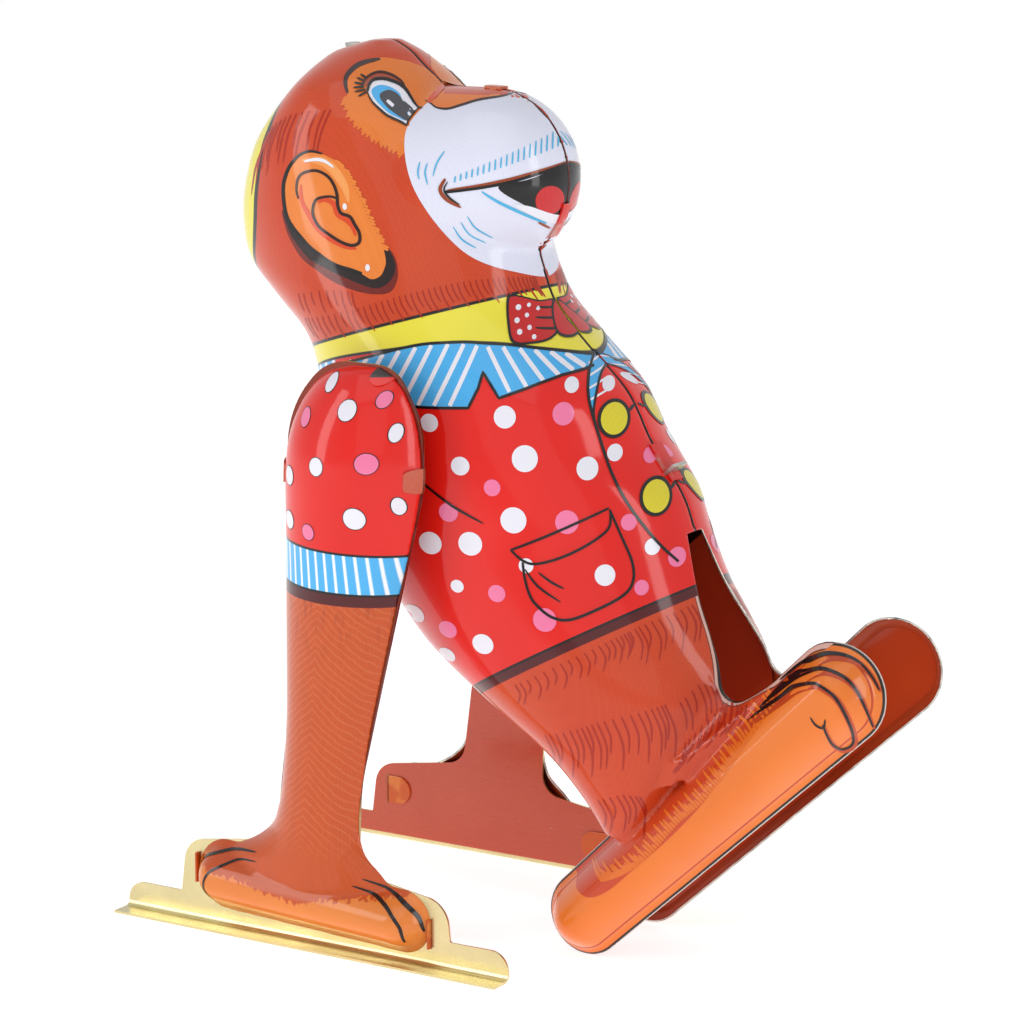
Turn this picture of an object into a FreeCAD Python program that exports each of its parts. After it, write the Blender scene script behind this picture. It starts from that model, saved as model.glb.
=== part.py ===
"""Clockwork tin tumbling monkey.

Frame: +Z up, the floor is Z = 0, the monkey looks along -Y, +X is its left side, and the origin is
on the floor below the middle of the whole toy.  All sizes are millimetres.

The toy is two pressed body halves round a clockwork motor.  The arm shaft runs through both
shoulders, and each arm is a pressed shell closed by a flat plate whose lower edge is bent outward
to stand on.  Winding the arms backward coils the spring; letting go turns them and flips the toy.
"""
import FreeCAD, Part
import math
import os

from FreeCAD import Matrix, Placement, Rotation, Vector

doc = FreeCAD.newDocument("tumbling_monkey")

# ---------------------------------------------------------------- driving dimensions
# Each entry: cell name, value in millimetres (or a count), what it is.
DIMENSIONS = [
    ("tin", 0.3, "thickness of the pressed body and arm shells"),
    ("total_height", 140.0, "floor to crown"),
    ("shoulder_y", 17.5, "shoulder axis, front to back"),
    ("shoulder_z", 80.7, "shoulder axis above the floor"),
    ("arm_plane", 27.5, "outer face of the arm plates from the middle"),
    ("arm_plate_tin", 0.4, "thickness of the arm plates"),
    ("hand_depth", 5.2, "how far the hand bulges from its plate"),
    ("flange_width", 4.0, "foot flange of an arm plate, outward from the plate"),
    ("flange_back", 62.8, "rear end of the foot flange"),
    ("flange_front", -9.9, "front end of the foot flange"),
    ("bend_radius", 1.3, "outer radius of the flange bend"),
    ("foot_plane", 9.7, "inner face of each foot from the middle"),
    ("foot_depth", 6.6, "how far a foot bulges from its inner face"),
    ("toe_radius", 8.0, "round of the toes"),
    ("heel_radius", 6.8, "round of the heel"),
    ("pan_inset", 1.5, "leg pans lie this far inside the leg rim"),
    ("motor_half_gap", 10.0, "inner face of a motor plate from the middle"),
    ("motor_plate_thickness", 0.8, "steel motor plates"),
    ("pillar_radius", 1.25, "motor pillars"),
    ("pillar_pin", 0.8, "riveted ends of the pillars"),
    ("shaft_radius", 1.2, "arm shaft"),
    ("shaft_reach", 31.5, "end of the arm shaft from the middle"),
    ("running_fit", 0.05, "radial clearance of every bearing"),
    ("pivot_radius", 0.5, "train arbor pivots"),
    ("arbor_radius", 0.75, "train arbors between the plates"),
    ("bush_radius", 2.5, "shoulder bush outside"),
    ("bush_flange_radius", 3.8, "shoulder bush flange"),
    ("bush_end", 24.7, "outer end of a shoulder bush from the middle"),
    ("washer_radius", 3.2, "shoulder washer"),
    ("washer_thickness", 0.5, "shoulder washer"),
    ("hub_radius", 4.0, "arm hub"),
    ("hub_length", 3.0, "arm hub"),
    ("tooth_module", 0.5, "all wheels and pinions"),
    ("great_teeth", 60, "teeth of the great wheel"),
    ("second_pinion_teeth", 10, "teeth"),
    ("second_teeth", 48, "teeth"),
    ("third_pinion_teeth", 10, "teeth"),
    ("third_teeth", 40, "teeth"),
    ("governor_pinion_teeth", 10, "teeth"),
    ("wheel_width", 0.9, "brass wheels"),
    ("great_wheel_x", 3.0, "right face of the great wheel"),
    ("second_wheel_x", 5.7, "right face of the second wheel"),
    ("third_wheel_x", 7.6, "right face of the third wheel"),
    ("second_mesh_angle", 225.0, "second arbor seen from the shoulder axis, degrees"),
    ("third_mesh_angle", 140.0, "third arbor seen from the second, degrees"),
    ("governor_mesh_angle", 72.0, "governor arbor seen from the third, degrees"),
    ("governor_disc_radius", 5.0, "governor flywheel"),
    ("governor_disc_width", 2.4, "governor flywheel"),
    ("ratchet_radius", 5.0, "ratchet wheel outside"),
    ("ratchet_teeth", 12, "saw teeth of the ratchet wheel"),
    ("ratchet_x", 1.6, "right face of the ratchet wheel"),
    ("ratchet_width", 1.0, "ratchet wheel"),
    ("click_pivot_distance", 9.0, "click rivet from the shaft"),
    ("click_rivet_radius", 0.6, "click rivet"),
    ("spring_inner_radius", 2.1, "innermost coil"),
    ("spring_outer_radius", 12.4, "outermost coil"),
    ("spring_strip", 0.35, "thickness of the spring strip"),
    ("spring_width", 8.6, "width of the spring strip"),
    ("spring_turns", 8, "coils when run down"),
    ("spring_x", -9.2, "right edge of the spring strip"),
]

sheet = doc.addObject("Spreadsheet::Sheet", "Sizes")
for row, (cell_name, cell_value, cell_note) in enumerate(DIMENSIONS, start=1):
    sheet.set(f"A{row}", cell_name)
    sheet.set(f"B{row}", str(cell_value))
    sheet.set(f"C{row}", cell_note)
    sheet.setAlias(f"B{row}", cell_name)
doc.recompute()


def size(cell):
    """The number in a named cell."""
    return float(sheet.get(cell))


# ---------------------------------------------------------------- body form
# Level, front, widest point, back and half width of the body above the ankles.
BODY_LEVELS = [
    (139.9, 28.0, 29.4, 31.4, 3.0),
    (138.5, 25.3, 31.0, 36.6, 6.6),
    (136.5, 22.9, 32.0, 39.4, 10.6),
    (134.5, 20.5, 33.0, 41.0, 13.8),
    (130.0, 16.0, 33.0, 45.2, 17.5),
    (125.0, 11.5, 33.0, 49.6, 19.0),
    (118.0, 6.0, 31.0, 52.9, 19.9),
    (111.0, 2.5, 28.5, 53.9, 20.2),
    (105.0, 0.4, 26.0, 52.3, 20.4),
    (100.0, -1.9, 22.5, 46.9, 21.2),
    (95.0, -6.7, 17.5, 41.5, 21.8),
    (88.0, -14.2, 12.5, 38.9, 22.4),
    (80.0, -18.9, 10.0, 38.4, 23.4),
    (72.0, -24.6, 7.0, 37.6, 23.3),
    (66.0, -26.9, 4.5, 35.0, 23.1),
    (57.0, -31.0, -1.5, 27.5, 22.8),
    (52.5, -34.0, -4.8, 23.6, 22.6),
    (48.0, -36.8, -8.0, 19.6, 22.2),
    (40.0, -37.8, -15.0, 8.7, 21.0),
    (33.0, -34.5, -20.5, -2.8, 19.4),
    (27.0, -31.0, -22.0, -9.8, 17.4),
    (21.0, -28.0, -22.0, -14.4, 14.5),
]
SNOUT_TIP = (10.0, 119.3, 13.7)
SNOUT_ROOT = (22.0, 115.0, 18.0)
TOE = (-55.9, 47.4)
HEEL = (-13.3, 6.8)
HAND_BACK = (42.6, 8.7, 5.9)
HAND_FRONT = (9.1, 6.6, 5.2)
# Level, front, back and depth of the arm shell from the top of the sleeve to the hand.
ARM_LEVELS = [
    (92.7, 13.6, 17.6, 0.9),
    (91.9, 11.4, 20.8, 2.4),
    (90.4, 9.3, 23.6, 3.9),
    (88.0, 7.6, 26.0, 5.5),
    (84.5, 6.2, 28.1, 7.1),
    (80.5, 5.5, 29.4, 8.1),
    (76.0, 5.3, 30.0, 8.3),
    (71.0, 6.1, 30.2, 7.8),
    (64.0, 7.8, 30.3, 6.9),
    (56.0, 10.0, 30.5, 6.1),
    (46.0, 12.5, 30.6, 5.4),
    (36.0, 14.9, 30.7, 5.0),
    (28.0, 16.4, 31.4, 4.8),
    (22.0, 17.2, 32.4, 4.8),
    (18.0, 16.9, 34.4, 4.7),
    (15.4, 15.6, 38.2, 4.6),
    (13.6, 13.4, 42.5, 4.5),
    (9.0, 9.0, 44.0, 4.3),
]
SECTION_POINTS = 24
# Layers of a pressed dome: how far in from its edge, as a share of the smaller radius, and how high,
# as a share of its depth.  The first step is the flat rim of the pressing.
SKIRT = 0.8
DOME_LAYERS = ((0.0, 0.0), (0.1, 0.04), (0.2, 0.25), (0.35, 0.53), (0.5, 0.73), (0.66, 0.88),
               (0.82, 0.97), (0.94, 1.0))

# The legs part where the two halves stop meeting: a plane that leans outward from the crotch and
# ends in the upright inner faces of the feet.  LEAN_* are measured square to the soles.
SOLE_UP = Vector(0, 0.664, 0.748)
SOLE_ALONG = Vector(0, 0.748, -0.664)
SOLE_POINT = Vector(0, -23.1, 7.3)
LEAN_START = 14.5
LEAN_END = 42.3
LEAN_TOP_GAP = 2.5


def half_oval(level, front, widest, back, half_width, overrun):
    """Left half of a horizontal egg-shaped section; overrun carries its flat side past X = 0."""
    points = []
    for step in range(SECTION_POINTS + 1):
        turn = math.pi * step / SECTION_POINTS
        reach = widest - front if step < SECTION_POINTS / 2 else back - widest
        points.append(Vector(half_width * math.sin(turn), widest - reach * math.cos(turn), level))
    steps = [step / SECTION_POINTS for step in range(SECTION_POINTS + 1)]
    curve = Part.BSplineCurve()
    curve.interpolate(Points=points, Parameters=steps)
    start = points[0] - Vector(overrun, 0, 0)
    end = points[-1] - Vector(overrun, 0, 0)
    straight = Part.makePolygon([points[-1], end, start, points[0]])
    return Part.Wire([curve.toShape()] + straight.Edges)


def slope_allowance(levels, index, column, metal):
    """How far to move a section edge inward so that a leaning wall keeps its thickness."""
    below = levels[min(index + 1, len(levels) - 1)]
    above = levels[max(index - 1, 0)]
    rise = above[0] - below[0]
    run = above[column] - below[column]
    return metal * min(math.hypot(1.0, run / rise), 3.0)


def half_capsule(start, start_radius, end, end_radius, sweep_start, sweep):
    """Two balls joined by the cone tangent to both, turned through part of a circle."""
    axis = end - start
    length = axis.Length
    axis.normalize()
    up = Vector(1, 0, 0).cross(axis)
    sine = (start_radius - end_radius) / length
    cosine = math.sqrt(1 - sine * sine)
    square = axis * sine + up * cosine
    before = -axis
    tilt = math.sqrt(0.5)
    edges = [
        Part.Arc(start + before * start_radius, start + (before + up) * start_radius * tilt,
                 start + square * start_radius).toShape(),
        Part.makeLine(start + square * start_radius, end + square * end_radius),
        Part.Arc(end + square * end_radius, end + (axis + up) * end_radius * tilt,
                 end + axis * end_radius).toShape(),
        Part.makeLine(end + axis * end_radius, start + before * start_radius),
    ]
    face = Part.Face(Part.Wire(edges))
    face.rotate(start, axis, sweep_start)
    return face.revolve(start, axis, sweep)


def rounded_bar(first, first_radius, second, second_radius, x):
    """Outline in the plane X = x: two circles, given by (y, z), and their outer tangents."""
    start = Vector(x, first[0], first[1])
    end = Vector(x, second[0], second[1])
    axis = end - start
    length = axis.Length
    axis.normalize()
    side = Vector(1, 0, 0).cross(axis)
    sine = (first_radius - second_radius) / length
    cosine = math.sqrt(1 - sine * sine)
    upper = axis * sine + side * cosine
    lower = axis * sine - side * cosine
    edges = [
        Part.Arc(start + lower * first_radius, start - axis * first_radius, start + upper * first_radius),
        Part.LineSegment(start + upper * first_radius, end + upper * second_radius),
        Part.Arc(end + upper * second_radius, end + axis * second_radius, end + lower * second_radius),
        Part.LineSegment(end + lower * second_radius, start + lower * first_radius),
    ]
    return Part.Wire([edge.toShape() for edge in edges])


def pressed_bar(first, first_radius, second, second_radius, plane_x, depth, metal):
    """A dome over a rounded bar: its outline lies in the plane X = plane_x and it bulges outward.

    A straight skirt runs on behind the plane, to be trimmed off.
    """
    skirt = SKIRT + metal
    wires = [rounded_bar(first, first_radius - metal, second, second_radius - metal, plane_x - skirt)]
    smaller = min(first_radius, second_radius)
    for inward, upward in DOME_LAYERS:
        inset = metal + inward * (smaller - metal)
        wires.append(rounded_bar(first, first_radius - inset, second, second_radius - inset,
                                 plane_x + upward * (depth - metal)))
    return Part.makeLoft(wires, True, True)


def body_form(metal):
    """Head, trunk and legs, every wall moved inward by the given metal thickness.

    Only the left half counts: the form runs on a little past X = 0, to be trimmed off.
    """
    wires = []
    overrun = SKIRT + metal
    for index, (level, front, widest, back, half_width) in enumerate(BODY_LEVELS):
        front_in = slope_allowance(BODY_LEVELS, index, 1, metal)
        back_in = slope_allowance(BODY_LEVELS, index, 3, metal)
        side_in = slope_allowance(BODY_LEVELS, index, 4, metal)
        lowered = level - metal if index == 0 else level
        wires.append(half_oval(lowered, front + front_in, widest, back - back_in,
                               half_width - side_in, overrun))
    trunk = Part.makeLoft(wires, True, False)
    tip = Vector(0, SNOUT_TIP[0], SNOUT_TIP[1])
    root = Vector(0, SNOUT_ROOT[0], SNOUT_ROOT[1])
    past = 8 + 10 * metal
    snout = half_capsule(tip, SNOUT_TIP[2] - metal, root, SNOUT_ROOT[2] - metal, -past, 180 + 2 * past)
    return trunk.fuse(snout)


def foot_form(metal):
    """The left foot: a deep dome over its flat inner face."""
    return pressed_bar(TOE, size("toe_radius"), HEEL, size("heel_radius"),
                       size("foot_plane"), size("foot_depth"), metal)


def leg_gap(extra):
    """The wedge between the legs.  extra moves its slanted and upright faces outward."""
    plane = size("foot_plane") + extra
    top_gap = LEAN_TOP_GAP + extra
    outline = [(-40.0, -60.0), (-40.0, plane), (LEAN_START, plane), (LEAN_END, top_gap), (LEAN_END, -60.0)]
    corners = []
    for height, across in outline:
        corners.append(SOLE_POINT + SOLE_UP * height + Vector(across, 0, 0) - SOLE_ALONG * 100)
    face = Part.Face(Part.makePolygon(corners + corners[:1]))
    return face.extrude(SOLE_ALONG * 200)


body_outside = body_form(0.0)
body_inside = body_form(size("tin"))
foot_outside = foot_form(0.0)
foot_inside = foot_form(size("tin"))
right_side = Part.makeBox(60, 300, 300, Vector(-60, -150, -50))
outer_half = body_outside.fuse(foot_outside)
inner_half = body_inside.fuse(foot_inside)
left_shell = outer_half.cut(inner_half).cut(right_side).cut(leg_gap(0.0))


def keep_largest(shape):
    return max(shape.Solids, key=lambda solid: solid.Volume)


def mirrored(shape):
    return shape.mirror(Vector(0, 0, 0), Vector(1, 0, 0))


pieces = []


def add_feature(label, shape):
    """Keep a pressed or free-form piece as a document object."""
    piece = doc.addObject("Part::Feature", label)
    piece.Label = label
    piece.Shape = shape
    piece.Placement = Placement()
    pieces.append(piece)
    return piece


def bar_along_x(radius, start_x, end_x, y, z):
    return Part.makeCylinder(radius, end_x - start_x, Vector(start_x, y, z), Vector(1, 0, 0))


# ---------------------------------------------------------------- outlines with rounded corners
def rounded_outline(corners):
    """Lines and tangent arcs through corners given as (across, up, radius), counted in order."""
    count = len(corners)
    edges = []
    tangents = []
    for index in range(count):
        here = Vector(corners[index][0], corners[index][1], 0)
        before = Vector(corners[index - 1][0], corners[index - 1][1], 0)
        after = Vector(corners[(index + 1) % count][0], corners[(index + 1) % count][1], 0)
        radius = corners[index][2]
        to_before = (before - here).normalize()
        to_after = (after - here).normalize()
        half_angle = to_before.getAngle(to_after) / 2
        if radius <= 0:
            tangents.append((here, None, here))
            continue
        back_off = radius / math.tan(half_angle)
        start = here + to_before * back_off
        end = here + to_after * back_off
        bisector = (to_before + to_after).normalize()
        centre = here + bisector * (radius / math.sin(half_angle))
        middle = centre - bisector * radius
        tangents.append((start, middle, end))
    for index in range(count):
        start, middle, end = tangents[index]
        if middle is not None:
            edges.append(Part.Arc(start, middle, end))
        following = tangents[(index + 1) % count][0]
        if (following - end).Length > 1e-6:
            edges.append(Part.LineSegment(end, following))
    return edges


def new_body(label):
    body = doc.addObject("PartDesign::Body", label)
    body.Label = label
    pieces.append(body)
    return body


def sketch_on(body, name, geometry, role="XY_Plane"):
    sketch = body.newObject("Sketcher::SketchObject", name)
    plane = [feature for feature in body.Origin.OriginFeatures if feature.Role == role][0]
    sketch.AttachmentSupport = (plane, [""])
    sketch.MapMode = "FlatFace"
    sketch.addGeometry(geometry, False)
    return sketch


def pad(body, name, geometry, thickness_expression, offset_expression=None):
    sketch = sketch_on(body, name + "_sketch", geometry)
    if offset_expression:
        sketch.setExpression("AttachmentOffset.Base.z", offset_expression)
    feature = body.newObject("PartDesign::Pad", name)
    feature.Profile = sketch
    feature.setExpression("Length", thickness_expression)
    doc.recompute()
    return feature


def pocket_through(body, name, geometry):
    """Cut right through the body and make sure that something was removed."""
    before = body.Shape.Volume
    sketch = sketch_on(body, name + "_sketch", geometry)
    feature = body.newObject("PartDesign::Pocket", name)
    feature.Profile = sketch
    feature.Type = "ThroughAll"
    feature.Midplane = True
    doc.recompute()
    if not body.Shape.Volume < before - 1e-6:
        raise RuntimeError(f"{body.Label}: {name} cut nothing")
    return feature


def circle(across, up, radius):
    return Part.Circle(Vector(across, up, 0), Vector(0, 0, 1), radius)


# A flat piece is drawn with its sketch axes along Y and Z and its thickness along X.
FLAT_TURN = Rotation(Vector(1, 1, 1), 120)


def stand_flat(body, x_expression):
    body.Placement = Placement(Vector(0, 0, 0), FLAT_TURN)
    body.setExpression("Placement.Base.x", x_expression)


# ---------------------------------------------------------------- gear train layout
def mesh_point(start, teeth_a, teeth_b, angle_cell):
    distance = size("tooth_module") * (size(teeth_a) + size(teeth_b)) / 2
    angle = math.radians(size(angle_cell))
    return (start[0] + distance * math.cos(angle), start[1] + distance * math.sin(angle))


SHOULDER = (size("shoulder_y"), size("shoulder_z"))
SECOND = mesh_point(SHOULDER, "great_teeth", "second_pinion_teeth", "second_mesh_angle")
THIRD = mesh_point(SECOND, "second_teeth", "third_pinion_teeth", "third_mesh_angle")
GOVERNOR = mesh_point(THIRD, "third_teeth", "governor_pinion_teeth", "governor_mesh_angle")
PILLARS = [(29.8, 92.8), (20.0, 64.0), (-10.5, 64.5), (6.5, 94.2)]
CHEST_STAY_PILLAR = PILLARS[2]
CHEST_TAB = (-21.6, 76.2)

ADDENDUM = 0.9
DEDENDUM = 1.25
TOOTH_SHARE_ROOT = 0.25
TOOTH_SHARE_PITCH = 0.19
TOOTH_SHARE_TIP = 0.09


def wheel_outline(teeth, phase_degrees):
    """Straight-flanked teeth; one tooth is centred on the phase angle."""
    module = size("tooth_module")
    pitch_radius = module * teeth / 2
    radii = (pitch_radius - DEDENDUM * module, pitch_radius, pitch_radius + ADDENDUM * module)
    shares = (TOOTH_SHARE_ROOT, TOOTH_SHARE_PITCH, TOOTH_SHARE_TIP)
    pitch_angle = 2 * math.pi / teeth
    phase = math.radians(phase_degrees)
    points = []
    for tooth in range(int(teeth)):
        middle = phase + tooth * pitch_angle
        for radius, share in zip(radii, shares):
            angle = middle - share * pitch_angle
            points.append(Vector(radius * math.cos(angle), radius * math.sin(angle), 0))
        for radius, share in zip(reversed(radii), reversed(shares)):
            angle = middle + share * pitch_angle
            points.append(Vector(radius * math.cos(angle), radius * math.sin(angle), 0))
    lines = []
    for index, point in enumerate(points):
        lines.append(Part.LineSegment(point, points[(index + 1) % len(points)]))
    return lines


def place_on_axis(body, centre, x_expression):
    body.Placement = Placement(Vector(0, centre[0], centre[1]), FLAT_TURN)
    body.setExpression("Placement.Base.x", x_expression)


def spoke_windows(teeth, windows):
    """Openings between the spokes of a wheel."""
    module = size("tooth_module")
    rim = module * teeth / 2 - 2.2
    boss = 3.4
    half_spoke = 0.8
    outline = []
    for window in range(windows):
        start = 2 * math.pi * window / windows
        end = 2 * math.pi * (window + 1) / windows
        corners = []
        for radius, first in ((boss, True), (rim, False)):
            swing = math.asin(half_spoke / radius)
            corners.append((radius, start + swing, end - swing))
        inner, outer = corners
        def at(radius, angle):
            return Vector(radius * math.cos(angle), radius * math.sin(angle), 0)
        outline.append(Part.Arc(at(inner[0], inner[1]), at(inner[0], (inner[1] + inner[2]) / 2),
                                at(inner[0], inner[2])))
        outline.append(Part.LineSegment(at(inner[0], inner[2]), at(outer[0], outer[2])))
        outline.append(Part.Arc(at(outer[0], outer[2]), at(outer[0], (outer[1] + outer[2]) / 2),
                                at(outer[0], outer[1])))
        outline.append(Part.LineSegment(at(outer[0], outer[1]), at(inner[0], inner[1])))
    return outline


def wheel(label, teeth_cell, centre, phase, x_expression, width_expression, bore, windows=0):
    body = new_body(label)
    teeth = size(teeth_cell)
    pad(body, label + "_teeth", wheel_outline(teeth, phase), width_expression)
    if windows:
        pocket_through(body, label + "_windows", spoke_windows(teeth, windows))
    pocket_through(body, label + "_bore", [circle(0, 0, bore)])
    place_on_axis(body, centre, x_expression)
    return body


def train_phases():
    """Rotation of each wheel so that a tooth of the driver meets a gap of the driven pinion."""
    phases = {}
    pairs = (
        ("great", "second_pinion", "second_pinion_teeth", "second_mesh_angle"),
        ("second", "third_pinion", "third_pinion_teeth", "third_mesh_angle"),
        ("third", "governor_pinion", "governor_pinion_teeth", "governor_mesh_angle"),
    )
    for driver, driven, driven_teeth, angle_cell in pairs:
        angle = size(angle_cell)
        phases[driver] = angle
        phases[driven] = angle + 180 + 180 / size(driven_teeth)
    return phases


def add_train():
    phases = train_phases()
    press = size("arbor_radius")
    loose = size("shaft_radius") + size("running_fit")
    width = "Sizes.wheel_width"
    wheel("great_wheel", "great_teeth", SHOULDER, phases["great"], "Sizes.great_wheel_x", width, loose, 5)
    wheel("second_pinion", "second_pinion_teeth", SECOND, phases["second_pinion"],
          "Sizes.great_wheel_x - 0.4", "Sizes.second_wheel_x - Sizes.great_wheel_x + 0.4", press)
    wheel("second_wheel", "second_teeth", SECOND, phases["second"], "Sizes.second_wheel_x", width, press, 4)
    wheel("third_pinion", "third_pinion_teeth", THIRD, phases["third_pinion"],
          "Sizes.second_wheel_x - 0.3", "Sizes.third_wheel_x - Sizes.second_wheel_x + 0.3", press)
    wheel("third_wheel", "third_teeth", THIRD, phases["third"], "Sizes.third_wheel_x", width, press, 4)
    wheel("governor_pinion", "governor_pinion_teeth", GOVERNOR, phases["governor_pinion"],
          "Sizes.third_wheel_x - 0.4", "Sizes.wheel_width + 0.8", press)
    for label, centre in (("second_arbor", SECOND), ("third_arbor", THIRD), ("governor_arbor", GOVERNOR)):
        add_arbor(label, centre)
    add_governor_disc()


def cylinder_along_x(name, radius_expression, x_expression, length_expression, centre):
    rod = doc.addObject("Part::Cylinder", name)
    rod.Placement = Placement(Vector(0, centre[0], centre[1]), FLAT_TURN)
    rod.setExpression("Radius", radius_expression)
    rod.setExpression("Height", length_expression)
    rod.setExpression("Placement.Base.x", x_expression)
    return rod


def add_arbor(label, centre):
    """A steel arbor with a thinner pivot at each end; the pivots run in the motor plates."""
    middle = cylinder_along_x(label + "_middle", "Sizes.arbor_radius", "-Sizes.motor_half_gap + 0.3",
                              "2 * Sizes.motor_half_gap - 0.6", centre)
    pivots = cylinder_along_x(label + "_pivots", "Sizes.pivot_radius",
                              "-Sizes.motor_half_gap - Sizes.motor_plate_thickness - 0.2",
                              "2 * (Sizes.motor_half_gap + Sizes.motor_plate_thickness + 0.2)", centre)
    joined = doc.addObject("Part::MultiFuse", label)
    joined.Shapes = [middle, pivots]
    joined.Label = label
    pieces.append(joined)


def add_governor_disc():
    disc = cylinder_along_x("governor_disc_blank", "Sizes.governor_disc_radius",
                            "-Sizes.governor_disc_width / 2", "Sizes.governor_disc_width", GOVERNOR)
    bore = cylinder_along_x("governor_disc_bore", "Sizes.arbor_radius",
                            "-Sizes.governor_disc_width", "2 * Sizes.governor_disc_width", GOVERNOR)
    cut = doc.addObject("Part::Cut", "governor_disc")
    cut.Base = disc
    cut.Tool = bore
    cut.Label = "governor_disc"
    pieces.append(cut)


# ---------------------------------------------------------------- motor frame
MOTOR_OUTLINE = [
    (31.6, 96.0, 3.0),
    (3.5, 96.6, 3.0),
    (-4.5, 92.0, 4.0),
    (-14.0, 77.0, 5.0),
    (-13.3, 61.6, 3.0),
    (22.3, 60.9, 3.0),
    (30.3, 74.0, 5.0),
]


def add_motor_plate(label, x_expression):
    body = new_body(label)
    pad(body, label + "_sheet", rounded_outline(MOTOR_OUTLINE), "Sizes.motor_plate_thickness")
    fit = size("running_fit")
    holes = [circle(SHOULDER[0], SHOULDER[1], size("shaft_radius") + fit)]
    for centre in (SECOND, THIRD, GOVERNOR):
        holes.append(circle(centre[0], centre[1], size("pivot_radius") + fit))
    for centre in PILLARS:
        holes.append(circle(centre[0], centre[1], size("pillar_pin")))
    pocket_through(body, label + "_holes", holes)
    stand_flat(body, x_expression)


def add_pillars():
    """Four shouldered pillars riveted into both plates; one node as they are alike."""
    parts = []
    for index, centre in enumerate(PILLARS):
        shoulder = cylinder_along_x(f"pillar_{index}_shoulder", "Sizes.pillar_radius",
                                    "-Sizes.motor_half_gap", "2 * Sizes.motor_half_gap", centre)
        pin = cylinder_along_x(f"pillar_{index}_pin", "Sizes.pillar_pin",
                               "-Sizes.motor_half_gap - Sizes.motor_plate_thickness - 0.4",
                               "2 * (Sizes.motor_half_gap + Sizes.motor_plate_thickness + 0.4)", centre)
        joined = doc.addObject("Part::Fuse", f"pillar_{index}")
        joined.Base = shoulder
        joined.Tool = pin
        parts.append(joined)
    group = doc.addObject("Part::Compound", "motor_pillars")
    group.Links = parts
    group.Label = "motor_pillars"
    pieces.append(group)


def add_shaft():
    shaft = cylinder_along_x("arm_shaft", "Sizes.shaft_radius", "-Sizes.shaft_reach",
                             "2 * Sizes.shaft_reach", SHOULDER)
    shaft.Label = "arm_shaft"
    pieces.append(shaft)


def ring_along_x(label, outer_expression, inner_expression, x_expression, length_expression):
    """A plain ring on the shoulder axis."""
    outer = cylinder_along_x(label + "_outside", outer_expression, x_expression, length_expression, SHOULDER)
    inner = cylinder_along_x(label + "_bore", inner_expression, x_expression + " - 1",
                             length_expression + " + 2", SHOULDER)
    ring = doc.addObject("Part::Cut", label)
    ring.Base = outer
    ring.Tool = inner
    ring.Label = label
    pieces.append(ring)
    return ring


def add_shoulder_fittings():
    washer_gap = "(Sizes.bush_end + 0.1)"
    hub_start = "Sizes.arm_plane"
    ring_along_x("left_shoulder_washer", "Sizes.washer_radius", "Sizes.shaft_radius",
                 washer_gap, "Sizes.washer_thickness")
    ring_along_x("right_shoulder_washer", "Sizes.washer_radius", "Sizes.shaft_radius",
                 f"-{washer_gap} - Sizes.washer_thickness", "Sizes.washer_thickness")
    ring_along_x("left_arm_hub", "Sizes.hub_radius", "Sizes.shaft_radius", hub_start, "Sizes.hub_length")
    ring_along_x("right_arm_hub", "Sizes.hub_radius", "Sizes.shaft_radius",
                 f"-{hub_start} - Sizes.hub_length", "Sizes.hub_length")
    ring_along_x("spring_collar", "Sizes.shaft_radius + 0.5", "Sizes.shaft_radius",
                 "Sizes.spring_x", "Sizes.spring_width")


def bush_shape():
    """Left shoulder bush: a tube from the motor plate to the shell with a flange shaped to the shell."""
    start = size("motor_half_gap") + size("motor_plate_thickness")
    y, z = SHOULDER
    tube = bar_along_x(size("bush_radius"), start, size("bush_end"), y, z)
    flange = bar_along_x(size("bush_flange_radius"), size("bush_end") - 2.2, size("bush_end"), y, z)
    flange = flange.cut(outer_half)
    bore = bar_along_x(size("shaft_radius") + size("running_fit"), start - 1, size("bush_end") + 1, y, z)
    return tube.fuse(flange).cut(bore)


# ---------------------------------------------------------------- ratchet, click and spring
def ratchet_outline():
    teeth = int(size("ratchet_teeth"))
    outer = size("ratchet_radius")
    inner = outer - 1.0
    points = []
    for tooth in range(teeth):
        angle = 2 * math.pi * tooth / teeth
        points.append(Vector(inner * math.cos(angle), inner * math.sin(angle), 0))
        steep = angle + 0.92 * 2 * math.pi / teeth
        points.append(Vector(outer * math.cos(steep), outer * math.sin(steep), 0))
    lines = []
    for index, point in enumerate(points):
        lines.append(Part.LineSegment(point, points[(index + 1) % len(points)]))
    return lines


CLICK_ANGLE = 100.0
CLICK_NOSE_ANGLE = 28.0


def click_points():
    """Click rivet and nose seen from the shaft axis."""
    pivot_radius = size("click_pivot_distance")
    nose_radius = size("ratchet_radius") - 0.15
    pivot = math.radians(CLICK_ANGLE)
    nose = math.radians(CLICK_NOSE_ANGLE)
    return (
        (pivot_radius * math.cos(pivot), pivot_radius * math.sin(pivot)),
        (nose_radius * math.cos(nose), nose_radius * math.sin(nose)),
    )


def add_ratchet():
    body = new_body("ratchet_wheel")
    pad(body, "ratchet_teeth_pad", ratchet_outline(), "Sizes.ratchet_width")
    pocket_through(body, "ratchet_bore", [circle(0, 0, size("shaft_radius"))])
    place_on_axis(body, SHOULDER, "Sizes.ratchet_x")


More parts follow.
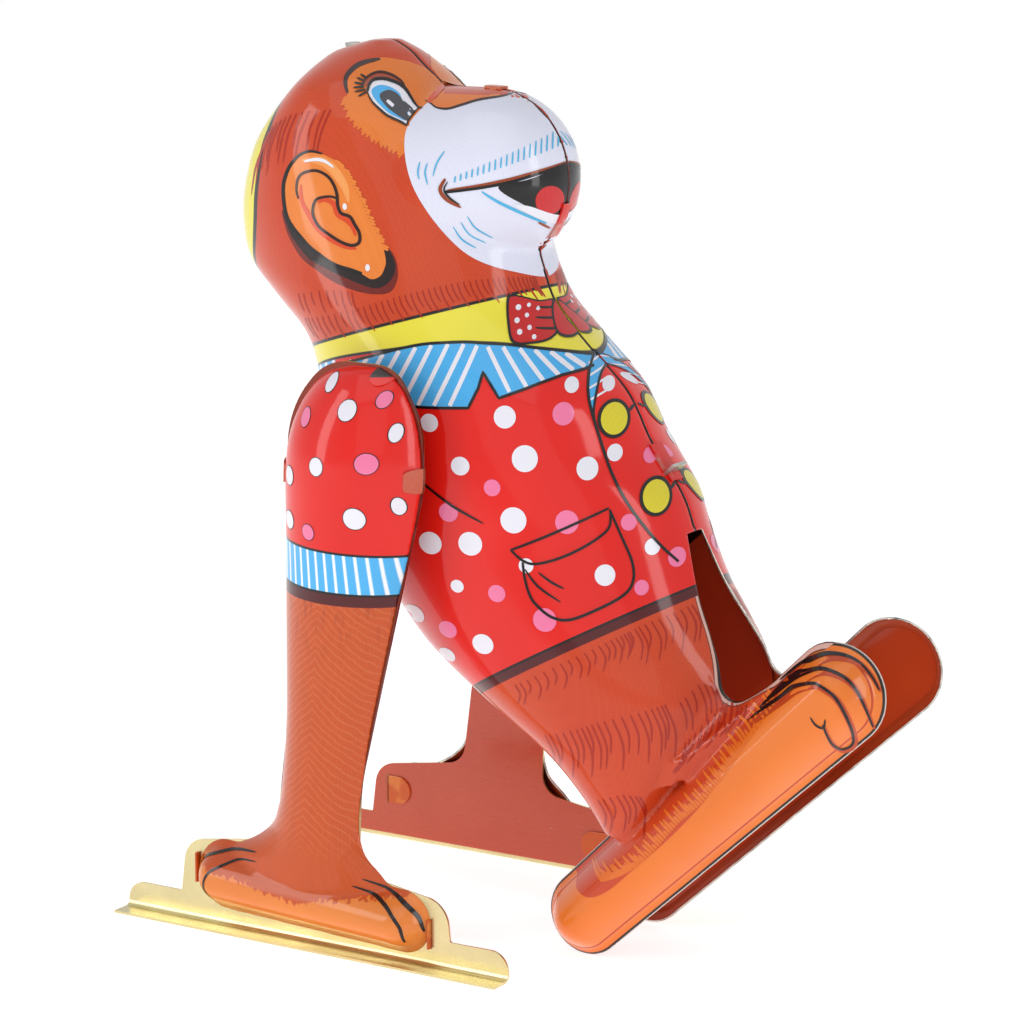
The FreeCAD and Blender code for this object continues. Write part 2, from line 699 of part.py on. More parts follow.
def add_click():
    """The click lies beside the great wheel and rocks on its rivet."""
    pivot, nose = click_points()
    body = new_body("click")
    bearing = size("click_rivet_radius") + size("running_fit")
    outline = [
        (pivot[0] - 2.4, pivot[1] - 0.6, 1.2),
        (pivot[0] - 1.6, pivot[1] + 1.6, 1.2),
        (pivot[0] + 2.0, pivot[1] + 1.0, 1.2),
        (nose[0] + 1.9, nose[1] + 1.1, 0.3),
        (nose[0] + 0.15, nose[1] + 0.62, 0.05),
        (pivot[0] + 0.8, pivot[1] - 1.9, 1.0),
    ]
    pad(body, "click_blank", rounded_outline(outline), "Sizes.ratchet_width - 0.2")
    pocket_through(body, "click_bore", [circle(pivot[0], pivot[1], bearing)])
    place_on_axis(body, SHOULDER, "Sizes.ratchet_x + 0.1")


def add_click_rivet():
    pivot, _ = click_points()
    centre = (SHOULDER[0] + pivot[0], SHOULDER[1] + pivot[1])
    shank = cylinder_along_x("click_rivet_shank", "Sizes.click_rivet_radius", "Sizes.ratchet_x - 0.35",
                             "Sizes.great_wheel_x + Sizes.wheel_width - Sizes.ratchet_x + 0.35", centre)
    head = cylinder_along_x("click_rivet_head", "2 * Sizes.click_rivet_radius", "Sizes.ratchet_x - 0.65",
                            "0.5", centre)
    rivet = doc.addObject("Part::Fuse", "click_rivet")
    rivet.Base = shank
    rivet.Tool = head
    rivet.Label = "click_rivet"
    pieces.append(rivet)
    return centre


def add_click_spring():
    """A thin leaf: its foot is riveted to a spoke of the great wheel, its end rests by the click."""
    pivot, _ = click_points()
    leaf = 0.2
    foot = Vector(pivot[0] - 6.2, pivot[1] - 3.2, 0)
    bend = Vector(pivot[0] - 4.4, pivot[1] + 1.2, 0)
    end = Vector(pivot[0] - 2.75, pivot[1] + 0.4, 0)
    outer = [foot, bend, end]
    offset = Vector(0.0, leaf, 0)
    inner = [point + offset for point in reversed(outer)]
    outline = outer + inner
    body = new_body("click_spring")
    lines = []
    for index, point in enumerate(outline):
        lines.append(Part.LineSegment(point, outline[(index + 1) % len(outline)]))
    pad(body, "click_spring_leaf", lines, "Sizes.great_wheel_x - Sizes.ratchet_x")
    place_on_axis(body, SHOULDER, "Sizes.ratchet_x")


def spiral_points(offset, turns, points_per_turn):
    inner = size("spring_inner_radius")
    outer = size("spring_outer_radius")
    points = []
    for step in range(int(turns * points_per_turn) + 1):
        turn = step / points_per_turn
        radius = inner + (outer - inner) * turn / turns + offset
        angle = 2 * math.pi * turn
        points.append(Vector(0, radius * math.cos(angle), radius * math.sin(angle)))
    return points


def mainspring_shape():
    """Run-down spiral of strip, with its outer end reaching a motor pillar."""
    turns = size("spring_turns") + 0.125
    strip = size("spring_strip")
    inner_curve = Part.BSplineCurve()
    outer_curve = Part.BSplineCurve()
    inner_points = spiral_points(0, turns, 16)
    outer_points = spiral_points(strip, turns, 16)
    inner_curve.interpolate(inner_points)
    outer_curve.interpolate(outer_points)
    edges = [
        inner_curve.toShape(),
        Part.makeLine(inner_points[-1], outer_points[-1]),
        outer_curve.toShape(),
        Part.makeLine(outer_points[0], inner_points[0]),
    ]
    spiral = Part.Face(Part.Wire(edges)).extrude(Vector(size("spring_width"), 0, 0))
    centre = Vector(size("spring_x"), SHOULDER[0], SHOULDER[1])
    spiral.translate(centre)
    end = outer_points[-1] + centre
    pillar = Vector(end.x, PILLARS[0][0], PILLARS[0][1])
    way = pillar - end
    length = way.Length - size("pillar_radius")
    way.normalize()
    side = way.cross(Vector(1, 0, 0)) * strip
    start = end - way * 1.4 * strip
    tip = end + way * length
    tail = Part.Face(Part.makePolygon([start, tip, tip + side, start + side, start]))
    return spiral.fuse(tail.extrude(Vector(size("spring_width"), 0, 0))).removeSplitter()


# ---------------------------------------------------------------- arms
ARM_PLATE_OUTLINE = [
    (62.8, 1.3, 0.0),
    (62.8, 4.5, 3.1),
    (52.0, 4.5, 0.4),
    (50.9, 13.2, 4.2),
    (33.2, 15.9, 3.8),
    (30.6, 36.0, 40.0),
    (29.9, 84.9, 16.0),
    (22.4, 93.2, 9.0),
    (9.8, 92.9, 6.0),
    (5.0, 84.0, 12.0),
    (5.2, 74.0, 20.0),
    (16.9, 27.0, 30.0),
    (17.5, 12.9, 3.6),
    (1.2, 10.5, 4.4),
    (0.6, 4.5, 0.4),
    (-9.9, 4.6, 3.1),
    (-9.9, 1.3, 0.0),
]
# Hand tabs: slot edge, free end, lowest and highest point.
HAND_TABS = [(48.6, 44.2, 6.8, 11.2), (4.2, 9.6, 3.2, 7.4)]
TAB_SLOT_WIDTH = 0.9
# Sleeve tabs: middle and half length along the rim, as (y, z, half length).
SLEEVE_TABS = [(5.3, 76.0, 1.9), (29.9, 75.6, 1.9), (11.4, 91.9, 1.6)]


def arm_section(level, front, back, depth, metal, plane):
    """Closed section of the arm: an arc that bulges outward over a chord behind the plate's plane."""
    half = (back - front) / 2 - metal
    middle = (front + back) / 2
    crown = depth - metal
    radius = (half * half + crown * crown) / (2 * crown)
    swing = math.atan2(half, radius - crown)
    points = []
    steps = []
    for step in range(SECTION_POINTS // 2 + 1):
        share = step / (SECTION_POINTS // 2)
        angle = swing * (2 * share - 1)
        across = plane + crown - radius + radius * math.cos(angle)
        points.append(Vector(across, middle + radius * math.sin(angle), level))
        steps.append(share)
    curve = Part.BSplineCurve()
    curve.interpolate(Points=points, Parameters=steps)
    behind = Vector(SKIRT + metal, 0, 0)
    straight = Part.makePolygon([points[-1], points[-1] - behind, points[0] - behind, points[0]])
    return Part.Wire([curve.toShape()] + straight.Edges)


def arm_form(metal):
    """The left arm shell as a solid that stands on the outer face of its plate."""
    plane = size("arm_plane")
    wires = []
    for index, (level, front, back, depth) in enumerate(ARM_LEVELS):
        shift = 0.0
        if index == 0:
            shift = metal
        if index == len(ARM_LEVELS) - 1:
            shift = -metal
        wires.append(arm_section(level - shift, front, back, depth, metal, plane))
    limb = Part.makeLoft(wires, True, False)
    hand = pressed_bar(HAND_FRONT[:2], HAND_FRONT[2], HAND_BACK[:2], HAND_BACK[2],
                       plane, size("hand_depth"), metal)
    behind = Part.makeBox(60, 300, 300, Vector(plane - 60, -150, -100))
    return limb.fuse(hand).cut(behind)


def hand_tab_shape(slot_y, free_y, low, high):
    """Tab of the arm shell: through the slot in the plate and bent flat against its inner face."""
    plane = size("arm_plane")
    inner_face = plane - size("arm_plate_tin")
    metal = size("tin")
    direction = 1 if free_y > slot_y else -1
    through_start = slot_y if direction > 0 else slot_y - metal
    through = Part.makeBox(plane + 1.2 - inner_face + metal, metal, high - low,
                           Vector(inner_face - metal, through_start, low))
    flat = Part.makeBox(metal, abs(free_y - slot_y), high - low,
                        Vector(inner_face - metal, min(slot_y, free_y), low))
    return through.fuse(flat)


def arm_shell_shape(outside):
    shell = outside.cut(arm_form(size("tin")))
    for slot_y, free_y, low, high in HAND_TABS:
        shell = shell.fuse(hand_tab_shape(slot_y, free_y, low, high))
    return shell.removeSplitter()


def sleeve_tab_shapes(outside):
    """Tabs of the arm plate, folded outward over the edge of the sleeve."""
    plane = size("arm_plane")
    plate = size("arm_plate_tin")
    cover = arm_form(-size("tin"))
    edge = cover.copy()
    edge.translate(Vector(-plate, 0, 0))
    edge = edge.common(Part.makeBox(plate, 300, 300, Vector(plane - plate, -150, -100)))
    skin = cover.fuse(edge).cut(outside)
    shapes = []
    for y, z, half_length in SLEEVE_TABS:
        block = Part.makeCylinder(half_length, plate + 2.8, Vector(plane - plate, y, z), Vector(1, 0, 0))
        shapes.append(skin.common(block))
    return shapes


def slot_outline(middle_y, low, high):
    half = TAB_SLOT_WIDTH / 2
    corners = [(middle_y - half, low), (middle_y + half, low), (middle_y + half, high), (middle_y - half, high)]
    lines = []
    for index, corner in enumerate(corners):
        following = corners[(index + 1) % 4]
        lines.append(Part.LineSegment(Vector(corner[0], corner[1], 0), Vector(following[0], following[1], 0)))
    return lines


def add_arm_plate_blank(label):
    """Flat of the left arm plate, standing on its foot flange."""
    body = new_body(label)
    pieces.pop()
    pad(body, label + "_sheet", rounded_outline(ARM_PLATE_OUTLINE), "Sizes.arm_plate_tin")
    holes = [circle(SHOULDER[0], SHOULDER[1], size("shaft_radius"))]
    for slot_y, free_y, low, high in HAND_TABS:
        holes += slot_outline(slot_y + (0.1 if free_y > slot_y else -0.1), low - 0.3, high + 0.3)
    pocket_through(body, label + "_holes", holes)
    stand_flat(body, "Sizes.arm_plane - Sizes.arm_plate_tin")
    doc.recompute()
    return body


def flange_shape():
    """Quarter bend and flat strip along the lower edge of the left arm plate."""
    plate = size("arm_plate_tin")
    outer = size("bend_radius")
    inner = outer - plate
    inside_x = size("arm_plane") - plate
    centre_x = inside_x + outer
    tip_x = size("arm_plane") + size("flange_width")
    start_y = size("flange_front")
    length = size("flange_back") - start_y
    diagonal = math.sqrt(0.5)
    edges = [
        Part.Arc(Vector(inside_x, start_y, outer),
                 Vector(centre_x - outer * diagonal, start_y, outer - outer * diagonal),
                 Vector(centre_x, start_y, 0)).toShape(),
        Part.makeLine(Vector(centre_x, start_y, 0), Vector(tip_x, start_y, 0)),
        Part.makeLine(Vector(tip_x, start_y, 0), Vector(tip_x, start_y, plate)),
        Part.makeLine(Vector(tip_x, start_y, plate), Vector(centre_x, start_y, plate)),
        Part.Arc(Vector(centre_x, start_y, plate),
                 Vector(centre_x - inner * diagonal, start_y, outer - inner * diagonal),
                 Vector(inside_x + plate, start_y, outer)).toShape(),
        Part.makeLine(Vector(inside_x + plate, start_y, outer), Vector(inside_x, start_y, outer)),
    ]
    return Part.Face(Part.Wire(edges)).extrude(Vector(0, length, 0))


def add_arms():
    outside = arm_form(0.0)
    blank = add_arm_plate_blank("arm_plate_blank")
    plate = blank.Shape.copy()
    plate.Placement = blank.Placement
    plate = plate.fuse(flange_shape())
    for tab in sleeve_tab_shapes(outside):
        plate = plate.fuse(tab)
    plate = plate.removeSplitter()
    shell = arm_shell_shape(outside).cut(flange_shape())
    add_feature("left_arm_plate", plate)
    add_feature("right_arm_plate", mirrored(plate))
    add_feature("left_arm_shell", shell)
    add_feature("right_arm_shell", mirrored(shell))


# ---------------------------------------------------------------- body shells, leg pans and tabs
def stay_shape():
    """Steel strip from a motor pillar out through the chest seam, its end bent over outside."""
    thickness = 0.5
    half_width = 2.0
    start = Vector(0, CHEST_STAY_PILLAR[0], CHEST_STAY_PILLAR[1])
    end = Vector(0, CHEST_TAB[0] - 2.0, CHEST_TAB[1] + 1.0)
    way = end - start
    length = way.Length
    way.normalize()
    across = Vector(1, 0, 0)
    up = way.cross(across)
    corner = start - across * half_width - up * thickness / 2
    strip = Part.Face(Part.makePolygon([
        corner, corner + across * 2 * half_width, corner + across * 2 * half_width + up * thickness,
        corner + up * thickness, corner])).extrude(way * length)
    eye = bar_along_x(size("pillar_radius") + 0.9, -half_width, half_width, start.y, start.z)
    hole = bar_along_x(size("pillar_radius"), -half_width - 1, half_width + 1, start.y, start.z)
    return strip.fuse(eye).cut(hole)


def surface_patch(y, z, length, width, lean_degrees, metal):
    """Small piece of sheet that lies on the outside of the body across the seam."""
    block = Part.makeBox(width, length, 14, Vector(0, -length / 2, -7))
    block.rotate(Vector(0, 0, 0), Vector(1, 0, 0), lean_degrees)
    block.translate(Vector(0, y, z))
    half = body_form(-metal).cut(body_form(0.0)).common(block)
    return half.fuse(mirrored(half)).removeSplitter()


def add_body():
    stay = stay_shape()
    bush_hole = bar_along_x(size("bush_radius"), 15, 40, SHOULDER[0], SHOULDER[1])
    shell = keep_largest(left_shell.cut(bush_hole).cut(stay))
    slab = leg_gap(size("pan_inset") + size("tin")).cut(leg_gap(size("pan_inset")))
    pan = keep_largest(slab.common(body_inside).fuse(slab.common(foot_inside)).removeSplitter())
    bush = bush_shape()
    add_feature("left_body_shell", shell)
    add_feature("right_body_shell", mirrored(shell))
    add_feature("left_leg_pan", pan)
    add_feature("right_leg_pan", mirrored(pan))
    add_feature("left_shoulder_bush", bush)
    add_feature("right_shoulder_bush", mirrored(bush))
    add_feature("chest_stay", stay)
    add_feature("head_tab", surface_patch(39.4, 138.2, 6.4, 2.2, -32, 0.5))
    add_feature("nose_tab", surface_patch(9.4, 132.8, 2.8, 1.2, 0, 0.4))
    add_feature("mouth_tab", surface_patch(-2.4, 113.2, 4.4, 1.1, 75, 0.4))
    add_feature("chest_tab", surface_patch(-20.5, 77.0, 6.4, 1.7, 65, 0.5).cut(stay))


add_body()
add_arms()
add_motor_plate("left_motor_plate", "Sizes.motor_half_gap")
add_motor_plate("right_motor_plate", "-Sizes.motor_half_gap - Sizes.motor_plate_thickness")
add_pillars()
add_shaft()
add_shoulder_fittings()
add_train()
add_ratchet()
add_click()
add_click_rivet()
add_click_spring()
add_feature("mainspring", mainspring_shape())

# ---------------------------------------------------------------- checks and export
doc.recompute()
for thing in doc.Objects:
    if "Invalid" in thing.State or "Error" in thing.State:
        raise RuntimeError(f"{thing.Name} did not compute: {thing.State}")

os.makedirs("parts", exist_ok=True)
for piece in pieces:
    shape = piece.Shape
    if shape.isNull() or not shape.isValid() or not shape.Solids:
        raise RuntimeError(f"{piece.Label} has no valid solid")
    shape.exportStep(f"parts/{piece.Label}.step")
    print(f"{piece.Label:24s} solids {len(shape.Solids)}  volume {shape.Volume:10.2f} mm3")
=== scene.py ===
"""Looks of the wind-up tin tumbling monkey: printed half shells, arms and bare metal.

It is built in the CAD frame: +Z up, the monkey looks along -Y, and +X is its left side.
"""

import math

import bmesh
import bpy
import numpy as np
from mathutils import Matrix, Vector
from mathutils.bvhtree import BVHTree
from mathutils.geometry import delaunay_2d_cdt


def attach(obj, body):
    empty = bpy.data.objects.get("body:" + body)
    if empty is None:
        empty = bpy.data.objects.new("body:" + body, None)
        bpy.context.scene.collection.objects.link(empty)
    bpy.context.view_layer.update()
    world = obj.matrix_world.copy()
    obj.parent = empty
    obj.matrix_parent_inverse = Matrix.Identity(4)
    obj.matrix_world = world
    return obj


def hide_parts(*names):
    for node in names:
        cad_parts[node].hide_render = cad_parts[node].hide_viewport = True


MM = 0.001
SMOOTH_FACTOR = 0.5

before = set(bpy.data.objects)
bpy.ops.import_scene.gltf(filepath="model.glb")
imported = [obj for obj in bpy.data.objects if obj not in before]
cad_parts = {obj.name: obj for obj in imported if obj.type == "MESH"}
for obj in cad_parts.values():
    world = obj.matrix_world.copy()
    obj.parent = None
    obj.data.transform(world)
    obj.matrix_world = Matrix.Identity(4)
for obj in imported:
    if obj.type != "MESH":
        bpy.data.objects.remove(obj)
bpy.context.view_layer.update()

# ---------------------------------------------------------------- sizes of the pressings, millimetres
TIN, PLATE_TIN = 0.35, 0.4
# Level, front, widest point, back and half width of the body above the ankles.
BODY_LEVELS = [
    (139.9, 28.0, 29.4, 31.4, 3.0),
    (138.5, 25.3, 31.0, 36.6, 6.6),
    (136.5, 22.9, 32.0, 39.4, 10.6),
    (134.5, 20.5, 33.0, 41.0, 13.8),
    (130.0, 16.0, 33.0, 45.2, 17.5),
    (125.0, 11.5, 33.0, 49.6, 19.0),
    (118.0, 6.0, 31.0, 52.9, 19.9),
    (111.0, 2.5, 28.5, 53.9, 20.2),
    (105.0, 0.4, 26.0, 52.3, 20.4),
    (100.0, -1.9, 22.5, 46.9, 21.2),
    (95.0, -6.7, 17.5, 41.5, 21.8),
    (88.0, -14.2, 12.5, 38.9, 22.4),
    (80.0, -18.9, 10.0, 38.4, 23.4),
    (72.0, -24.6, 7.0, 37.6, 23.3),
    (66.0, -26.9, 4.5, 35.0, 23.1),
    (57.0, -31.0, -1.5, 27.5, 22.8),
    (52.5, -34.0, -4.8, 23.6, 22.6),
    (48.0, -36.8, -8.0, 19.6, 22.2),
    (40.0, -37.8, -15.0, 8.7, 21.0),
    (33.0, -34.5, -20.5, -2.8, 19.4),
    (27.0, -31.0, -22.0, -9.8, 17.4),
    (21.0, -28.0, -22.0, -14.4, 14.5),
]
SNOUT_TIP, SNOUT_TIP_RADIUS = (0.0, 10.0, 119.3), 13.7
SNOUT_ROOT, SNOUT_ROOT_RADIUS = (0.0, 22.0, 115.0), 18.0
SNOUT_NARROWING = 0.965
TOE, TOE_RADIUS = (-55.9, 47.4), 8.0
HEEL, HEEL_RADIUS = (-13.3, 6.8), 6.8
FOOT_PLANE, FOOT_DEPTH = 9.7, 6.6
# Level, front, back and depth of the arm shell from the top of the sleeve to the hand.
ARM_LEVELS = [
    (92.7, 13.6, 17.6, 0.9),
    (91.9, 11.4, 20.8, 2.4),
    (90.4, 9.3, 23.6, 3.9),
    (88.0, 7.6, 26.0, 5.5),
    (84.5, 6.2, 28.1, 7.1),
    (80.5, 5.5, 29.4, 8.1),
    (76.0, 5.3, 30.0, 8.3),
    (71.0, 6.1, 30.2, 7.8),
    (64.0, 7.8, 30.3, 6.9),
    (56.0, 10.0, 30.5, 6.1),
    (46.0, 12.5, 30.6, 5.4),
    (36.0, 14.9, 30.7, 5.0),
    (28.0, 16.4, 31.4, 4.8),
    (22.0, 17.2, 32.4, 4.8),
    (18.0, 16.9, 34.4, 4.7),
    (15.4, 15.6, 38.2, 4.6),
    (13.6, 13.4, 42.5, 4.5),
    (9.0, 9.0, 44.0, 4.3),
]
ARM_PLANE = 27.5
HAND_BACK, HAND_BACK_RADIUS = (42.6, 8.7), 5.9
HAND_FRONT, HAND_FRONT_RADIUS = (9.1, 6.6), 5.2
HAND_DEPTH = 5.2
# The legs part along a plane that leans outward below the crotch and ends in the feet's inner faces.
SOLE_UP = (0.6639, 0.7478)
SOLE_POINT = (-23.1, 7.3)
LEAN_START, LEAN_END, LEAN_TOP_GAP = 14.5, 42.5, 2.4
LEAN_SLOPE = (FOOT_PLANE - LEAN_TOP_GAP) / (LEAN_END - LEAN_START)
# Direction from heel to toe, about square to SOLE_UP.
FOOT_ALONG = (-0.724, 0.690)
# Corner between shin and foot: its place along the foot and above the sole, and how far it reaches.
INSTEP, INSTEP_REACH = (57.5, 17.5), (5.0, 11.0)
# The seam edge of a half body turns inward over this width, by this much.
SEAM_WIDTH, SEAM_ROLL = 0.75, 0.42
# Ink lies this far off the skin, and each layer this much further.
INK_LIFT, LAYER_LIFT = 0.015, 0.018
# A piece of ink longer than this has slipped over an edge of the form and is dropped.
LONGEST_PATCH = 3.5
# The ink reaches this far past the seam before it is cut back to this far from it, and stops short of
# the legs' parting faces.
INK_PAST_SEAM, INK_FROM_SEAM, INK_FROM_PARTING = 0.9, 0.3, 0.1
# Rays that find the skin start this far from the middle, outside every form.
OUTSIDE = 150
# Cell of each skin's mesh, rounds of smoothing, and the further rounds at the instep.
BODY_CELL, BODY_ROUNDS, INSTEP_ROUNDS = 0.45, 3, 45
ARM_CELL, ARM_ROUNDS = 0.4, 5
# Across direction of the body's drawings, which are laid out as seen from its quarter side.
QUARTER_VIEW = (0.5287, -0.8488, 0)
# Outline of the web in the corner between shin and foot; its ends and last points lie inside the leg.
INSTEP_WEB = [(-26.6, 55.6), (-29.4, 53.4), (-31.7, 50.6), (-33.6, 47.6), (-34.6, 46.0), (-35.8, 45.0),
              (-36.9, 44.3), (-38.0, 43.9), (-39.1, 43.9), (-40.2, 44.4), (-41.4, 45.2), (-42.8, 46.1),
              (-44.1, 47.1), (-46.0, 48.6), (-41.0, 39.0), (-30.0, 35.0), (-23.0, 50.0)]
WEB_ROOT = (-30.0, 39.0)
# The web's sections: X, share of the outline's size, and shift back and down with the leg's curve.
WEB_SECTIONS = [(6.5, 1.0, 0.0, 0.0), (9.6, 1.0, 0.0, 0.0), (11.0, 0.96, 1.0, -1.6), (12.4, 0.88, 2.1, -3.6),
                (13.8, 0.75, 3.4, -5.8), (15.0, 0.5, 4.6, -8.2)]

# ---------------------------------------------------------------- studio, in metres
CAMERA_PLACE, CAMERA_TARGET, CAMERA_LENS = (-0.446, -0.2713, 0.1679), (0, 0.0065, 0.06665), 119.5
# Strength of the white surroundings to the camera and as light, and what reflections get on top.
SKY_SEEN, SKY_LIGHT, SKY_GLOSS = 1.0, 0.29, 0.55
FLOOR_GLOW = 0.68


def sole_rise(y, z):
    """Height above the plane of the soles."""
    return (y - SOLE_POINT[0]) * SOLE_UP[0] + (z - SOLE_POINT[1]) * SOLE_UP[1]


def foot_along(y, z):
    """Place along the foot, growing from heel to toe."""
    return y * FOOT_ALONG[0] + z * FOOT_ALONG[1]


# ---------------------------------------------------------------- closed forms as point rings
def eased(table, level):
    """Smooth values of a table's columns at the given levels."""
    rows = np.array(sorted(table))
    knots = rows[:, 0]
    level = np.asarray(level, float)
    place = np.clip(np.searchsorted(knots, level) - 1, 0, len(knots) - 2)
    gap = knots[place + 1] - knots[place]
    t = (level - knots[place]) / gap
    columns = []
    for column in range(1, rows.shape[1]):
        value = rows[:, column]
        slope = np.gradient(value, knots)
        columns.append(
            (2 * t**3 - 3 * t**2 + 1) * value[place]
            + (t**3 - 2 * t**2 + t) * gap * slope[place]
            + (3 * t**2 - 2 * t**3) * value[place + 1]
            + (t**3 - t**2) * gap * slope[place + 1]
        )
    return columns


def ring_solid(rings):
    """Closed surface through rings of equal length, with a fan over the first and the last ring."""
    rings = np.asarray(rings, float)
    count, around = rings.shape[:2]
    points = rings.reshape(-1, 3)
    faces = []
    for row in range(count - 1):
        for step in range(around):
            following = (step + 1) % around
            faces.append((row * around + step, row * around + following,
                          (row + 1) * around + following, (row + 1) * around + step))
    points = np.vstack([points, rings[0].mean(0), rings[-1].mean(0)])
    first, last = len(points) - 2, len(points) - 1
    for step in range(around):
        following = (step + 1) % around
        faces.append((following, step, first))
        faces.append(((count - 1) * around + step, (count - 1) * around + following, last))
    return points, faces


def body_solid():
    levels = np.concatenate([np.linspace(21.0, 136.0, 150), np.linspace(136.4, 139.9, 14)])
    front, widest, back, half_width = eased(BODY_LEVELS, levels)
    turn = np.linspace(0, 2 * np.pi, 120, endpoint=False)
    reach = np.where(np.cos(turn)[None] > 0, (widest - front)[:, None], (back - widest)[:, None])
    x = half_width[:, None] * np.sin(turn)[None]
    y = widest[:, None] - reach * np.cos(turn)[None]
    z = np.repeat(levels[:, None], len(turn), 1)
    return ring_solid(np.stack([x, y, z], -1))


def snout_solid():
    """Two balls joined by their common cone, a little narrower across than it is high."""
    tip, root = np.array(SNOUT_TIP), np.array(SNOUT_ROOT)
    along = tip - root
    length = np.linalg.norm(along)
    along /= length
    side = np.array([1.0, 0, 0])
    up = np.cross(side, along)
    tangent = math.acos((SNOUT_ROOT_RADIUS - SNOUT_TIP_RADIUS) / length)
    stations = [(tip, SNOUT_TIP_RADIUS, a) for a in np.linspace(0.03, tangent, 26)]
    stations += [(root, SNOUT_ROOT_RADIUS, a) for a in np.linspace(tangent, math.pi - 0.03, 26)]
    turn = np.linspace(0, 2 * np.pi, 80, endpoint=False)
    rings = []
    for centre, radius, angle in stations:
        ring = (centre + radius * math.cos(angle) * along
                + radius * math.sin(angle) * (np.cos(turn)[:, None] * side + np.sin(turn)[:, None] * up))
        ring[:, 0] *= SNOUT_NARROWING
        rings.append(ring)
    return ring_solid(rings)


def bar_outline(first, first_radius, second, second_radius, steps=40):
    """Outline of two circles joined by their common tangents, in Y and Z."""
    first, second = np.array(first), np.array(second)
    along = second - first
    length = np.linalg.norm(along)
    along /= length
    across = np.array([-along[1], along[0]])
    lean = math.acos((first_radius - second_radius) / length)
    far = np.linspace(lean, 2 * math.pi - lean, steps)
    near = np.linspace(-lean, lean, steps)
    points = [first + first_radius * (math.cos(t) * along + math.sin(t) * across) for t in far]
    points += [second + second_radius * (math.cos(t) * along + math.sin(t) * across) for t in near]
    return np.array(points)


def pressed_bar(first, first_radius, second, second_radius, plane, depth, flange):
    """Dome over a bar outline: a narrow flat rim, then a rounded rise."""
    rings = []
    for share in [-1.0] + list(np.linspace(0, 1, 15)):
        inset = 0.0
        rise = -1.5
        if share >= 0:
            inset = flange * min(share * 30, 1) + share * (min(first_radius, second_radius) - flange - 0.05)
            rise = depth * (1 - (1 - share) ** 2)
        outline = bar_outline(first, first_radius - inset, second, second_radius - inset)
        rings.append(np.column_stack([np.full(len(outline), plane + rise), outline]))
    return ring_solid(rings)


def prism_solid(outline, low_x, high_x):
    outline = np.array(outline, float)
    return ring_solid([np.column_stack([np.full(len(outline), x), outline]) for x in (low_x, high_x)])


def instep_solid():
    """The web's outline shrinking toward its root as it goes outward."""
    outline, root = np.array(INSTEP_WEB), np.array(WEB_ROOT)
    return ring_solid([np.column_stack([np.full(len(outline), x),
                                        root + (back, down) + (outline - root) * share]) for x, share, back,
                       down in WEB_SECTIONS])


def arm_solid():
    levels = np.linspace(9.0, 92.65, 170)
    front, back, depth = eased(ARM_LEVELS, levels)
    rings = []
    for level, a, b, crown in zip(levels, front, back, depth):
        half, middle = (b - a) / 2, (a + b) / 2
        radius = (half * half + crown * crown) / (2 * crown)
        swing = math.atan2(half, radius - crown)
        angle = np.linspace(-swing, swing, 40)
        x = ARM_PLANE + crown - radius + radius * np.cos(angle)
        y = middle + radius * np.sin(angle)
        x = np.concatenate([x, np.full(2, ARM_PLANE - 1.5)])
        y = np.concatenate([y, [b, a]])
        rings.append(np.column_stack([x, y, np.full(len(x), level)]))
    return ring_solid(rings)


# ---------------------------------------------------------------- meshes
def placed(obj):
    """The object, now in the scene."""
    bpy.context.scene.collection.objects.link(obj)
    return obj


def mesh_object(name, points, faces):
    mesh = bpy.data.meshes.new(name)
    mesh.from_pydata((np.asarray(points) * MM).tolist(), [], [tuple(f) for f in faces])
    mesh.validate()
    return placed(bpy.data.objects.new(name, mesh))


def recalculated(obj):
    work = bmesh.new()
    work.from_mesh(obj.data)
    bmesh.ops.recalc_face_normals(work, faces=work.faces)
    work.to_mesh(obj.data)
    work.free()
    return obj


def baked(obj):
    """The object with its modifiers made part of its mesh."""
    graph = bpy.context.evaluated_depsgraph_get()
    mesh = bpy.data.meshes.new_from_object(obj.evaluated_get(graph))
    old = obj.data
    obj.modifiers.clear()
    obj.data = mesh
    bpy.data.meshes.remove(old)
    return obj


def pressing(name, solids, voxel, smoothing):
    """One closed skin round overlapping solids, with its inner corners softened as in a pressing."""
    points, faces = [], []
    for more_points, more_faces in solids:
        start = len(points)
        points += list(more_points)
        faces += [tuple(start + index for index in face) for face in more_faces]
    obj = recalculated(mesh_object(name, points, faces))
    skin = obj.modifiers.new("skin", "REMESH")
    skin.mode = "VOXEL"
    skin.voxel_size = voxel * MM
    soft = obj.modifiers.new("soft", "SMOOTH")
    soft.factor = SMOOTH_FACTOR
    soft.iterations = smoothing
    return baked(obj)


def ramp(value, start, end):
    share = np.clip((value - start) / (end - start), 0, 1)
    return share * share * (3 - 2 * share)


def instep_share(points):
    """How far a point lies in the corner between shin and foot: 1 at the corner, 0 away from it."""
    rise, along = sole_rise(points[:, 1], points[:, 2]), foot_along(points[:, 1], points[:, 2])
    return 1 - ramp(np.hypot(along - INSTEP[0], rise - INSTEP[1]), *INSTEP_REACH)


def softened(obj, share_of, rounds):
    """Smooths a part of the skin far enough to fill its inner corner with a round web."""
    points = np.array([v.co for v in obj.data.vertices]) / MM
    group = obj.vertex_groups.new(name="share")
    for index, share in enumerate(share_of(points)):
        if share > 0:
            group.add([index], float(share), "REPLACE")
    soft = obj.modifiers.new("soft", "SMOOTH")
    soft.factor = SMOOTH_FACTOR
    soft.iterations = rounds
    soft.vertex_group = "share"
    return baked(obj)


def cut_by(obj, tool):
    cut = obj.modifiers.new("cut", "BOOLEAN")
    cut.operation = "DIFFERENCE"
    cut.solver = "MANIFOLD"
    cut.object = tool
    baked(obj)
    bpy.data.objects.remove(tool)
    return obj


